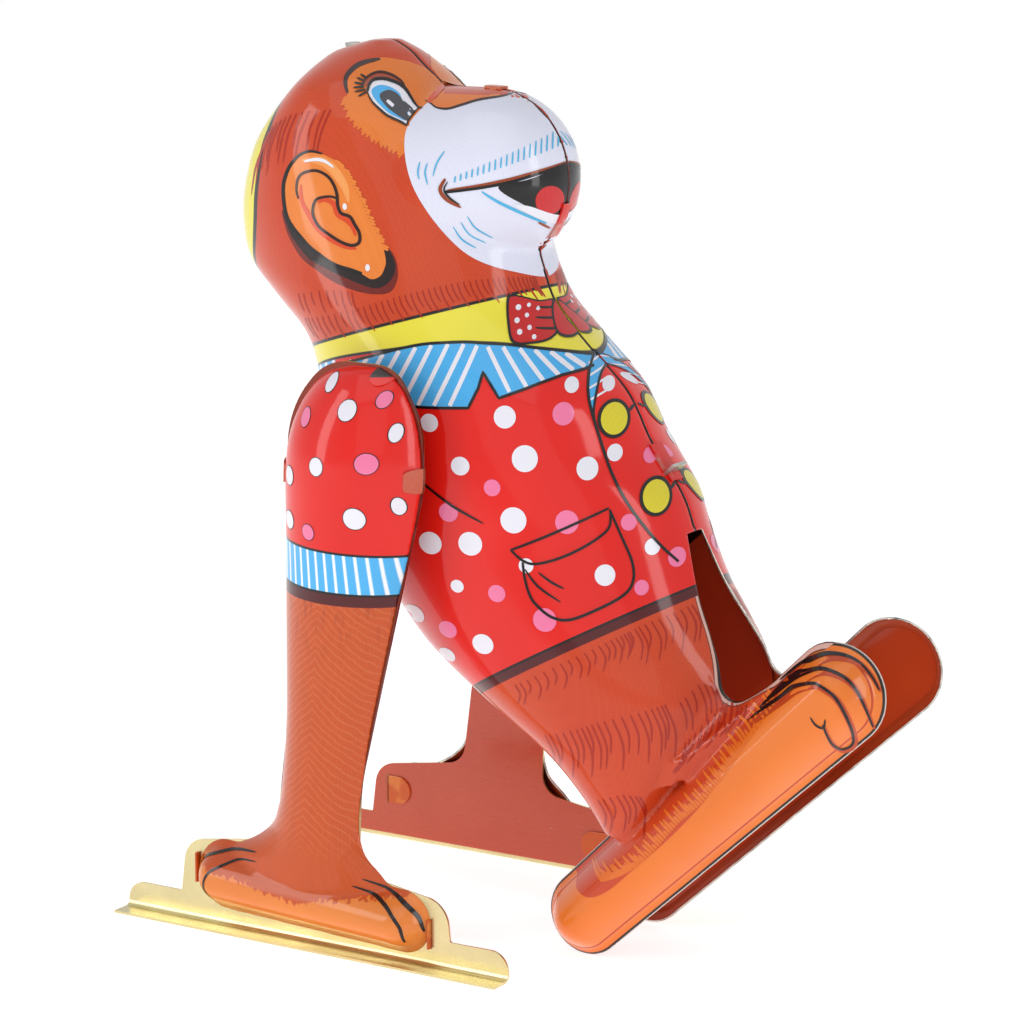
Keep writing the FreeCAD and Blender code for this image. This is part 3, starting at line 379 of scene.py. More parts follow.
def parting_solid():
    """All that lies past the seam and the legs' parting faces, seen from the half at positive X."""
    profile = [(-60, -60), (FOOT_PLANE, -60), (FOOT_PLANE, LEAN_START), (LEAN_TOP_GAP, LEAN_END),
               (0, LEAN_END), (0, 200), (-60, 200)]
    rings = []
    for reach in (-150.0, 150.0):
        ring = []
        for x, rise in profile:
            y = SOLE_POINT[0] + rise * SOLE_UP[0] + reach * SOLE_UP[1]
            z = SOLE_POINT[1] + rise * SOLE_UP[1] - reach * SOLE_UP[0]
            ring.append((x, y, z))
        rings.append(ring)
    points = np.array(rings).reshape(-1, 3)
    count = len(profile)
    faces = [(i, (i + 1) % count, count + (i + 1) % count, count + i) for i in range(count)]
    faces += [tuple(range(count))[::-1], tuple(range(count, 2 * count))]
    return recalculated(mesh_object("parting", points, faces))


def on_parting(points):
    """Whether points in millimetres lie on the seam or on the legs' parting faces."""
    rise = sole_rise(points[:, 1], points[:, 2])
    leaning = np.clip(FOOT_PLANE - LEAN_SLOPE * (rise - LEAN_START), 0, FOOT_PLANE)
    edge = np.where(rise < LEAN_END + 1e-3, leaning, 0.0)
    ledge = (np.abs(rise - LEAN_END) < 1e-2) & (points[:, 0] < LEAN_TOP_GAP + 0.01)
    return (np.abs(points[:, 0] - edge) < 8e-3) | ledge


def opened(obj, is_cut):
    """Removes the faces that closed the form at its cut."""
    points = np.array([v.co for v in obj.data.vertices]) / MM
    flags = is_cut(points)
    work = bmesh.new()
    work.from_mesh(obj.data)
    gone = [face for face in work.faces if all(flags[v.index] for v in face.verts)]
    bmesh.ops.delete(work, geom=gone, context="FACES")
    loose = [v for v in work.verts if not v.link_faces]
    bmesh.ops.delete(work, geom=loose, context="VERTS")
    work.to_mesh(obj.data)
    work.free()
    return obj


def mirrored(obj, name):
    copy = obj.copy()
    copy.data = obj.data.copy()
    copy.name = name
    copy.data.transform(Matrix.Scale(-1, 4, (1, 0, 0)))
    copy.data.flip_normals()
    return placed(copy)


def smooth(obj):
    for polygon in obj.data.polygons:
        polygon.use_smooth = True
    return obj


body_full = pressing("body_full", [
    body_solid(), snout_solid(),
    pressed_bar(TOE, TOE_RADIUS, HEEL, HEEL_RADIUS, FOOT_PLANE, FOOT_DEPTH, 0.9),
    instep_solid(),
], BODY_CELL, BODY_ROUNDS)
body_full = softened(body_full, instep_share, INSTEP_ROUNDS)
body_skin = body_full.copy()
body_skin.data = body_full.data.copy()
body_skin.data.transform(Matrix.Scale(-1, 4, (1, 0, 0)))
body_skin.data.flip_normals()
left_body = opened(cut_by(body_full, parting_solid()), on_parting)
smooth(left_body)
arm_full = pressing("arm_full", [
    arm_solid(),
    pressed_bar(HAND_FRONT, HAND_FRONT_RADIUS, HAND_BACK, HAND_BACK_RADIUS, ARM_PLANE, HAND_DEPTH, 0.6),
], ARM_CELL, ARM_ROUNDS)
behind = mesh_object("behind", *prism_solid([(-80, -50), (90, -50), (90, 120), (-80, 120)], -20, ARM_PLANE))
recalculated(behind)
left_arm = opened(cut_by(arm_full, behind), lambda p: np.abs(p[:, 0] - ARM_PLANE) < 4e-3)
smooth(left_arm)


# ---------------------------------------------------------------- colours and shader wiring
def tone(code, alpha=1.0):
    """Linear colour of an sRGB hex code."""
    parts = [int(code[i:i + 2], 16) / 255 for i in (0, 2, 4)]
    return tuple(p / 12.92 if p <= 0.04045 else ((p + 0.055) / 1.055) ** 2.4 for p in parts) + (alpha,)


FUR, FUR_DARK, FUR_LIGHT = "cf4118", "9c270b", "da5a28"
FOOT_ORANGE, ARM_FUR = "e26f20", "cc541c"
JACKET, JACKET_DEEP, YELLOW, COLLAR_BLUE, MAROON = "e41a10", "cc120e", "ebdf40", "4cb2ee", "4e0c12"
PRINTED_LINE, EDGE_LINE = "120a0c", "1a0d0a"


class Signal:
    """A shader value that takes ordinary arithmetic."""

    def __init__(self, tree, socket):
        self.tree, self.socket = tree, socket

    def _math(self, operation, *others, clamp=False):
        node = self.tree.nodes.new("ShaderNodeMath")
        node.operation = operation
        node.use_clamp = clamp
        for place, value in enumerate((self,) + others):
            if isinstance(value, Signal):
                self.tree.links.new(value.socket, node.inputs[place])
            else:
                node.inputs[place].default_value = value
        return Signal(self.tree, node.outputs[0])

    def __add__(self, other):
        return self._math("ADD", other)

    def __sub__(self, other):
        return self._math("SUBTRACT", other)

    def __mul__(self, other):
        return self._math("MULTIPLY", other)

    def __truediv__(self, other):
        return self._math("DIVIDE", other)

    def flipped(self):
        return self * -1.0 + 1.0

    def size(self):
        return self._math("ABSOLUTE")

    def above(self, edge, soft=0.06):
        """1 where the value is over the edge, with a short soft step."""
        return ((self - edge) / (2 * soft) + 0.5)._math("MULTIPLY", 1.0, clamp=True)

    def below(self, edge, soft=0.06):
        return self.above(edge, soft).flipped()

    def near(self, middle, half, soft=0.05):
        return (self - middle).size().below(half, soft)

    def most(self, other):
        return self._math("MAXIMUM", other)

    def fraction(self):
        return self._math("FRACT")

    def curve(self, low, high, points, value_low, value_high):
        """Value read off a drawn curve; points are (input, output) in their own units."""
        node = self.tree.nodes.new("ShaderNodeFloatCurve")
        line = node.mapping.curves[0]
        scaled = [((a - low) / (high - low), (b - value_low) / (value_high - value_low)) for a, b in points]
        line.points[0].location = scaled[0]
        line.points[1].location = scaled[-1]
        for place in scaled[1:-1]:
            line.points.new(*place)
        node.mapping.update()
        self.tree.links.new(((self - low) / (high - low)).socket, node.inputs["Value"])
        return Signal(self.tree, node.outputs[0]) * (value_high - value_low) + value_low


class Paint:
    """A material under construction: object coordinates in millimetres and a stack of colours."""

    def __init__(self, name):
        self.material = bpy.data.materials.new(name)
        self.material.use_nodes = True
        self.tree = self.material.node_tree
        self.shader = self.tree.nodes["Principled BSDF"]
        place = self.tree.nodes.new("ShaderNodeTexCoord")
        split = self.tree.nodes.new("ShaderNodeSeparateXYZ")
        self.tree.links.new(place.outputs["Object"], split.inputs[0])
        self.object_place = place.outputs["Object"]
        self.x, self.y, self.z = (Signal(self.tree, split.outputs[i]) * 1000.0 for i in range(3))
        self.across = self.x.size()
        self.colour = None

    def link(self, source, target):
        self.tree.links.new(source, target)

    def constant(self, code):
        node = self.tree.nodes.new("ShaderNodeRGB")
        node.outputs[0].default_value = tone(code)
        return node.outputs[0]

    def base(self, code):
        self.colour = self.constant(code)
        return self

    def over(self, code, mask, strength=1.0):
        """Lays a colour over what is there, where the mask is 1."""
        node = self.tree.nodes.new("ShaderNodeMix")
        node.data_type = "RGBA"
        self.link((mask * strength).socket, node.inputs["Factor"])
        self.link(self.colour, node.inputs["A"])
        self.link(self.constant(code), node.inputs["B"])
        self.colour = node.outputs["Result"]
        return self

    def noise(self, stretch=(1, 1, 1), scale=1.0, detail=3.0, rough=0.5, turn=(0, 0, 0)):
        """Noise over the object; stretch is the number of cells per millimetre along each axis."""
        mapping = self.tree.nodes.new("ShaderNodeMapping")
        mapping.inputs["Scale"].default_value = [1000 * scale * s for s in stretch]
        mapping.inputs["Rotation"].default_value = turn
        self.link(self.object_place, mapping.inputs["Vector"])
        node = self.tree.nodes.new("ShaderNodeTexNoise")
        node.inputs["Scale"].default_value = 1.0
        node.inputs["Detail"].default_value = detail
        node.inputs["Roughness"].default_value = rough
        self.link(mapping.outputs[0], node.inputs["Vector"])
        return Signal(self.tree, node.outputs["Fac"])

    def halftone(self, pitch=0.45):
        """Fine screen of printing dots, 0 to 1."""
        cells = self.tree.nodes.new("ShaderNodeTexVoronoi")
        cells.inputs["Scale"].default_value = 1000 / pitch
        cells.inputs["Randomness"].default_value = 0.15
        self.link(self.object_place, cells.inputs["Vector"])
        return Signal(self.tree, cells.outputs["Distance"])

    def relief(self, height, distance=0.02, strength=1.0):
        bump = self.tree.nodes.new("ShaderNodeBump")
        bump.inputs["Distance"].default_value = distance * MM
        bump.inputs["Strength"].default_value = strength
        self.link(height.socket, bump.inputs["Height"])
        self.link(bump.outputs[0], self.shader.inputs["Normal"])
        return self

    def lacquer(self, roughness=0.42, coat=0.7, wear=True):
        """Finishes the material as ink under clear varnish, with small scuffs down to the tin."""
        if wear:
            scuff = self.noise((0.9, 0.9, 0.5), 1.0, 4.0, 0.75).above(0.79, 0.015)
            self.over("b9a59a", scuff, 0.7)
        self.link(self.colour, self.shader.inputs["Base Color"])
        gloss = self.noise((1, 1, 1), 0.08, 3.0) * 0.1 + (roughness - 0.05)
        self.link(gloss.socket, self.shader.inputs["Roughness"])
        self.shader.inputs["Coat Weight"].default_value = coat
        self.shader.inputs["Coat Roughness"].default_value = 0.09
        self.shader.inputs["Coat IOR"].default_value = 1.45
        self.shader.inputs["Specular IOR Level"].default_value = 0.12
        self.relief(self.noise((1, 1, 1), 0.12, 2.0), 0.05, 0.5)
        return self.material

    def metal(self, roughness=0.25, brushed=(1, 1, 1)):
        """Finishes the material as bare metal, faintly brushed."""
        self.link(self.colour, self.shader.inputs["Base Color"])
        self.shader.inputs["Metallic"].default_value = 1.0
        grain = self.noise(brushed, 3.0, 3.0)
        self.link((grain * 0.16 + (roughness - 0.06)).socket, self.shader.inputs["Roughness"])
        self.relief(grain, 0.01, 0.5)
        return self.material


def ink(name, code, shade=None, amount=0.35):
    """One printed colour: a flat ink with the screen of the printing faintly in it."""
    paint = Paint(name).base(code)
    if shade:
        paint.over(shade, paint.halftone(0.4).above(0.3, 0.1), amount)
    return paint.lacquer(wear=False)


def hem_height(paint):
    return paint.y * -0.54 + 44.0


def neck_height(paint):
    return paint.y * -0.29 + 102.8


def collar_height(paint):
    """Top edge of the collar, arched over the shoulder and lower at the throat and the nape."""
    return paint.y.curve(-40, 60, [(-40, 80.0), (-20, 86.0), (-9, 93.0), (-4, 94.8), (2, 95.8), (8, 95.5),
                                   (13, 94.8), (31, 90.6), (45, 84.0), (60, 74.0)], 70, 100)


def body_paint():
    paint = Paint("printed_body").base(FUR)
    broad = paint.noise((1, 1, 0.6), 0.05, 2.0)
    paint.over(FUR_LIGHT, broad.above(0.5, 0.2), 0.35)
    paint.over(FUR_DARK, paint.halftone(0.42).above(0.3, 0.12), 0.22)
    hem, neck, collar = hem_height(paint), neck_height(paint), collar_height(paint)
    drop = hem - paint.z
    # yellow patch at the back of the head, with its black line
    nape_line = [(100, 49.5), (105.6, 45.9), (111.3, 44.0), (116.8, 43.2), (123.1, 42.0), (128.9, 40.8),
                 (132.0, 41.4), (135, 43.0)]
    nape = paint.y - paint.z.curve(100, 135, nape_line, 38, 52)
    paint.over(YELLOW, nape.above(0.0) * paint.z.above(96.0))
    paint.over(PRINTED_LINE, nape.near(0.0, 0.6) * paint.z.above(97.0))
    # foot: bright orange below a fringe
    along = foot_along(paint.y, paint.z)
    rise = sole_rise(paint.y, paint.z)
    fringe = [(10, 17.0), (15.5, 16.0), (19, 9.0), (23, 6.2), (30, 6.1), (44, 6.9), (50, 8.0), (57, 10.4),
              (66, 13.2), (80, 17.0)]
    in_foot = (rise - along.curve(10, 80, fringe, 0, 20)).below(0.0, 0.12) * along.above(8.0)
    paint.over(FOOT_ORANGE, in_foot)
    paint.over("f08a34", in_foot * broad.above(0.45, 0.25), 0.5)
    rim = rise.below(14.5) * paint.across.above(9.5)
    paint.over(EDGE_LINE, rim * paint.across.below(10.14, 0.04))
    paint.over("cfc6be", rim * paint.across.below(9.86, 0.03))
    parting_line = [(10, 9.7), (14.5, 9.7), (28.5, 6.05), (42.5, 2.4), (45, 1.7)]
    parting = paint.across - rise.curve(10, 45, parting_line, 0, 12)
    beside = rise.above(14.4) * rise.below(43.0)
    paint.over("5a1c10", parting.below(0.85, 0.08) * beside)
    paint.over("d9ada0", parting.below(0.68, 0.05) * beside)
    paint.over(EDGE_LINE, parting.below(0.18, 0.04) * beside)
    # jacket, its dark hem, the yellow neckband and the black lines between them
    below_neck, below_collar = (paint.z - neck).below(0.0), (paint.z - collar).below(0.0)
    paint.over(MAROON, drop.below(1.75) * below_collar)
    paint.over(JACKET, drop.below(0.0) * below_collar)
    paint.over(JACKET_DEEP, drop.below(0.0) * below_collar * broad.above(0.56, 0.2), 0.45)
    paint.over(PRINTED_LINE, drop.near(0.0, 0.22))
    paint.over(YELLOW, below_collar.flipped() * below_neck)
    around_back = paint.y.above(26.5)
    in_collar = below_collar * (paint.z - 86.4).above(0.0) * around_back
    paint.over(COLLAR_BLUE, in_collar)
    paint.over("f2f6fa", in_collar * (paint.y * 0.42 + paint.z * 0.1).fraction().near(0.5, 0.17, 0.06))
    paint.over(PRINTED_LINE, (paint.z - 86.4).near(0.0, 0.2) * around_back)
    paint.over(PRINTED_LINE, (paint.z - collar).near(0.0, 0.22))
    paint.over(PRINTED_LINE, (paint.z - neck).near(0.0, 0.26))
    paint.over(PRINTED_LINE, paint.across.below(0.32) * rise.above(42.0))
    return paint.lacquer()


def arm_paint():
    paint = Paint("printed_arm").base(ARM_FUR)
    broad = paint.noise((1, 1, 0.5), 0.06, 2.0)
    paint.over("d05a20", broad.above(0.5, 0.2), 0.45)
    paint.over("8f3010", paint.halftone(0.42).above(0.3, 0.12), 0.2)
    # fine pale chevrons of hair down the forearm
    middle = paint.z.curve(0, 60, [(0, 26.0), (14, 25.5), (30, 23.5), (60, 20.0)], 10, 40)
    wave = ((paint.y - middle).size() * 0.9 + paint.z * 1.0 + paint.noise((1, 1, 1), 0.25) * 2.0) * 0.75
    hairs = wave.fraction().near(0.5, 0.08, 0.08) * paint.z.above(17.0, 3.0)
    paint.over("e39a5c", hairs, 0.22)
    dark_hairs = paint.noise((1, 1, 0.2), 1.2, 2.0).above(0.6, 0.05)
    paint.over("8a2a10", dark_hairs * paint.z.near(56.0, 5.0, 4.0), 0.3)
    strands = paint.noise((1, 1, 0.2), 1.4, 2.0, 0.6)
    hand = (paint.z - 9.4 + strands * 3.0 - (paint.y - 27.0).size() * 0.16).below(0.0, 0.15)
    paint.over("e07a34", hand)
    paint.over("f0963f", hand * broad.above(0.45, 0.25), 0.45)
    # cuff with its white stripes, then the dotted sleeve
    cuff_top = paint.z - paint.y * 0.06 - 63.8
    cuff_foot = paint.z - paint.y * 0.05 - 57.5
    paint.over(MAROON, (cuff_foot + 1.9).above(0.0))
    paint.over(COLLAR_BLUE, cuff_foot.above(0.0))
    paint.over("f4f8fc", cuff_foot.above(0.0) * (paint.y * 0.62).fraction().near(0.5, 0.13, 0.05))
    paint.over(PRINTED_LINE, cuff_foot.near(0.0, 0.2))
    paint.over(JACKET, cuff_top.above(0.0))
    paint.over(JACKET_DEEP, cuff_top.above(0.0) * broad.above(0.56, 0.2), 0.45)
    paint.over(PRINTED_LINE, cuff_top.near(0.0, 0.2))
    return paint.lacquer()


def printed_inside():
    """Back of the litho sheet: plain brick-red lacquer on tin."""
    paint = Paint("tin_inside").base("b0431f")
    paint.over("8f3216", paint.noise((1, 1, 1), 0.1).above(0.5, 0.2), 0.5)
    return paint.lacquer(0.45, 0.4)


def cut_edge():
    paint = Paint("cut_edge").base("c9c4bb")
    paint.over("6c6259", paint.noise((1, 1, 1), 0.5).above(0.58, 0.1), 0.6)
    return paint.metal(0.3)


def pan_paint(name):
    """Brick red lacquer of the leg pans, paler toward their bent rims; painted shade darkens them higher up.
    """
    paint = Paint(name).base("c2451c")
    paint.over("a8320f", paint.noise((1, 1, 1), 0.03).above(0.46, 0.2), 0.5)
    rise = sole_rise(paint.y, paint.z)
    # painted shade: the deep pan floor between the legs darkens above this height over the soles
    paint.over("8a1c0a", rise.above(17.0, 3.0), 0.7)
    return paint.lacquer(0.4, 0.5)


def plate_paint():
    """Arm plates: gold lacquer on the side of the arm, brick orange print on the side of the body."""
    paint = Paint("arm_plate_gold").base("d6ca98")
    paint.over("a89a68", paint.noise((0.15, 0.4, 0.4), 0.4).above(0.5, 0.15), 0.25)
    folded_out = paint.across.above(27.56, 0.01) * paint.z.above(60.0)
    body_side = paint.across.below(27.13, 0.01).most(folded_out)
    paint.link((body_side.flipped() * 0.9).socket, paint.shader.inputs["Metallic"])
    paint.over("b8401c", body_side)
    paint.over("c9552a", body_side * paint.noise((1, 1, 1), 0.05).above(0.5, 0.15), 0.5)
    paint.over(JACKET, folded_out * paint.z.above(88.0))
    paint.over("140c0a", folded_out * paint.z.above(91.4))
    beside_sleeve = paint.z.above(24.0, 2.0) * folded_out.flipped() * body_side.flipped()
    paint.over("6b2412", beside_sleeve)
    tin = paint.noise((1, 1, 1), 0.8, 4.0, 0.7).above(0.76, 0.02)
    paint.over("d8d2c4", tin, 0.6)
    paint.link(paint.colour, paint.shader.inputs["Base Color"])
    gloss = paint.noise((1, 0.2, 1), 1.0) * 0.18 + 0.2
    paint.link(gloss.socket, paint.shader.inputs["Roughness"])
    paint.shader.inputs["Coat Weight"].default_value = 0.4
    paint.shader.inputs["Coat Roughness"].default_value = 0.1
    paint.relief(paint.noise((1, 1, 1), 0.3, 3.0), 0.03, 0.5)
    return paint.material


def tab_paint(name, code, worn):
    """Tabs bent from the printed sheets: lacquer rubbed through to the tin in places."""
    paint = Paint(name).base(code)
    paint.over(worn, paint.noise((1, 1, 1), 0.35, 2.0).above(0.62, 0.05), 0.6)
    return paint.lacquer(0.35, 0.6)


def bare(name, code, dark, roughness, brushed=(1, 1, 1)):
    paint = Paint(name).base(code)
    paint.over(dark, paint.noise((1, 1, 1), 0.25).above(0.55, 0.12), 0.5)
    return paint.metal(roughness, brushed)


# ---------------------------------------------------------------- prints laid on the pressings
class Print:
    """Shapes of ink on the skin of a form, drawn on a flat view of it and carried along that view."""

    def __init__(self, forms, right, clip):
        points, faces = [], []
        for form in forms:
            start = len(points)
            points += [v.co / MM for v in form.data.vertices]
            faces += [tuple(start + i for i in p.vertices) for p in form.data.polygons]
        self.skin = BVHTree.FromPolygons(points, faces)
        self.right = Vector(right).normalized()
        self.inward = Vector((0, 0, 1)).cross(self.right)
        self.clip = clip
        self.points, self.faces, self.inks, self.places = [], [], [], []

    def _lifted(self, u, z, layer):
        """The point of the skin behind a drawn point, raised by its layer, or None past the skin."""
        start = self.right * u + Vector((0, 0, z)) - self.inward * OUTSIDE
        place, normal, _, _ = self.skin.ray_cast(start, self.inward)
        if place is None:
            return None
        if normal.dot(self.inward) > 0:
            normal = -normal
        return place + normal * (INK_LIFT + LAYER_LIFT * layer)

    def _keeps(self, corners):
        """Whether a piece of ink lies whole on the skin and inside the form's clip."""
        if any(corner is None for corner in corners):
            return False
        if max((corners[i] - corners[i - 1]).length for i in range(len(corners))) > LONGEST_PATCH:
            return False
        return all(self.clip(corner) for corner in corners)

    def _slot_of(self, ink_name):
        if ink_name not in self.inks:
            self.inks.append(ink_name)
        return self.inks.index(ink_name)

    def shape(self, outline, ink_name, layer=1, grid=0.8):
        """Fills a closed outline given as (across, height) points."""
        outline = spread(outline, 0.45)
        area = sum(a[0] * b[1] - b[0] * a[1] for a, b in zip(outline, outline[1:] + outline[:1]))
        if area < 0:
            outline = outline[::-1]
        low = np.min(outline, 0)
        high = np.max(outline, 0)
        inner = []
        if min(high - low) > 1.6 * grid:
            for u in np.arange(low[0] + grid / 2, high[0], grid):
                for z in np.arange(low[1] + grid / 2, high[1], grid):
                    inner.append((u, z))
        flat = [Vector(p) for p in outline] + [Vector(p) for p in inner]
        places, _, triangles, _, _, _ = delaunay_2d_cdt(flat, [], [list(range(len(outline)))], 1, 1e-5)
        lifted = [self._lifted(place.x, place.y, layer) for place in places]
        start, slot = len(self.points), self._slot_of(ink_name)
        # a point past the skin belongs to no piece that is kept, so it goes with the loose points
        self.points += [tuple(p) if p is not None else (0.0, 0.0, -1e3) for p in lifted]
        self.faces += [(tuple(start + i for i in triangle), slot)
                       for triangle in triangles if self._keeps([lifted[i] for i in triangle])]

    def line(self, path, width, ink_name, layer=2, taper=(0.15, 0.15), curved=True):
        """A brush line along a path; taper is the share of the width left at each end."""
        path = arc_through(path) if curved else spread(path, 0.5, closed=False)
        count = len(path)
        sides = [], []
        for index, point in enumerate(path):
            before, after = path[max(index - 1, 0)], path[min(index + 1, count - 1)]
            way = np.subtract(after, before)
            way = way / (np.linalg.norm(way) + 1e-9)
            share = index / max(count - 1, 1)
            swell = math.sin(math.pi * share) ** 0.5
            end = taper[0] if share < 0.5 else taper[1]
            half = width / 2 * (end + (1 - end) * swell)
            sides[0].append((point[0] - way[1] * half, point[1] + way[0] * half))
            sides[1].append((point[0] + way[1] * half, point[1] - way[0] * half))
        for index in range(count - 1):
            quad = [sides[0][index], sides[0][index + 1], sides[1][index + 1], sides[1][index]]
            lifted = [self._lifted(u, z, layer) for u, z in quad]
            if self._keeps(lifted):
                start = len(self.points)
                self.points += [tuple(p) for p in lifted]
                self.faces.append((tuple(range(start, start + 4)), self._slot_of(ink_name)))

    def disc(self, centre, radius, ink_name, layer=3, rim=0.0, rim_ink="black", stretch=1.0, lean=0.0):
        """A round dot, optionally with an outline round it."""
        def oval(r):
            points = []
            for turn in np.linspace(0, 2 * math.pi, 40, endpoint=False):
                a, b = r * math.cos(turn), (r + radius * (stretch - 1)) * math.sin(turn)
                points.append((centre[0] + a * math.cos(lean) - b * math.sin(lean),
                               centre[1] + a * math.sin(lean) + b * math.cos(lean)))
            return points
        if rim:
            self.shape(oval(radius + rim), rim_ink, layer - 1)
        self.shape(oval(radius), ink_name, layer)

    def finished(self, name, inks):
        obj = mesh_object(name, self.points, [face for face, _ in self.faces])
        for polygon, (_, place) in zip(obj.data.polygons, self.faces):
            polygon.material_index = place
        for ink_name in self.inks:
            obj.data.materials.append(inks[ink_name])
        work = bmesh.new()
        work.from_mesh(obj.data)
        bmesh.ops.bisect_plane(work, geom=work.verts[:] + work.edges[:] + work.faces[:], dist=1e-9,
                               plane_co=(-INK_FROM_SEAM * MM, 0, 0), plane_no=(1, 0, 0), clear_outer=True)
        bmesh.ops.delete(work, geom=[v for v in work.verts if not v.link_faces], context="VERTS")
        for face in work.faces:
            face.normal_update()
            if face.normal.dot(self.inward) > 0:
                face.normal_flip()
            face.smooth = True
        work.to_mesh(obj.data)
        work.free()
        return obj


def spread(points, step, closed=True):
    """The same outline with points no farther apart than the step."""
    points = [tuple(map(float, p)) for p in points]
    ends = points[1:] + points[:1] if closed else points[1:]
    result = []
    for a, b in zip(points, ends):
        count = max(1, math.ceil(math.dist(a, b) / step))
        result += [(a[0] + (b[0] - a[0]) * i / count, a[1] + (b[1] - a[1]) * i / count) for i in range(count)]
    if not closed:
        result.append(points[-1])
    return result


def arc_through(points, closed=False, per_span=8):
    """Smooth curve through the points (Catmull-Rom)."""
    knots = [np.array(p, float) for p in points]
    count = len(knots)
    spans = count if closed else count - 1
    result = []
    for span in range(spans):
        def knot(index):
            return knots[index % count] if closed else knots[min(max(index, 0), count - 1)]
        a, b, c, d = (knot(span + shift) for shift in (-1, 0, 1, 2))
        steps = max(2, min(per_span, int(np.linalg.norm(c - b) / 0.35) + 1))
        for step in range(steps):
            t = step / steps
            result.append(tuple(0.5 * (2 * b + (c - a) * t + (2 * a - 5 * b + 4 * c - d) * t * t
                                       + (3 * b - a - 3 * c + d) * t ** 3)))
    if not closed:
        result.append(tuple(knots[-1]))
    return result


def closed_curve(points):
    return arc_through(points, closed=True)


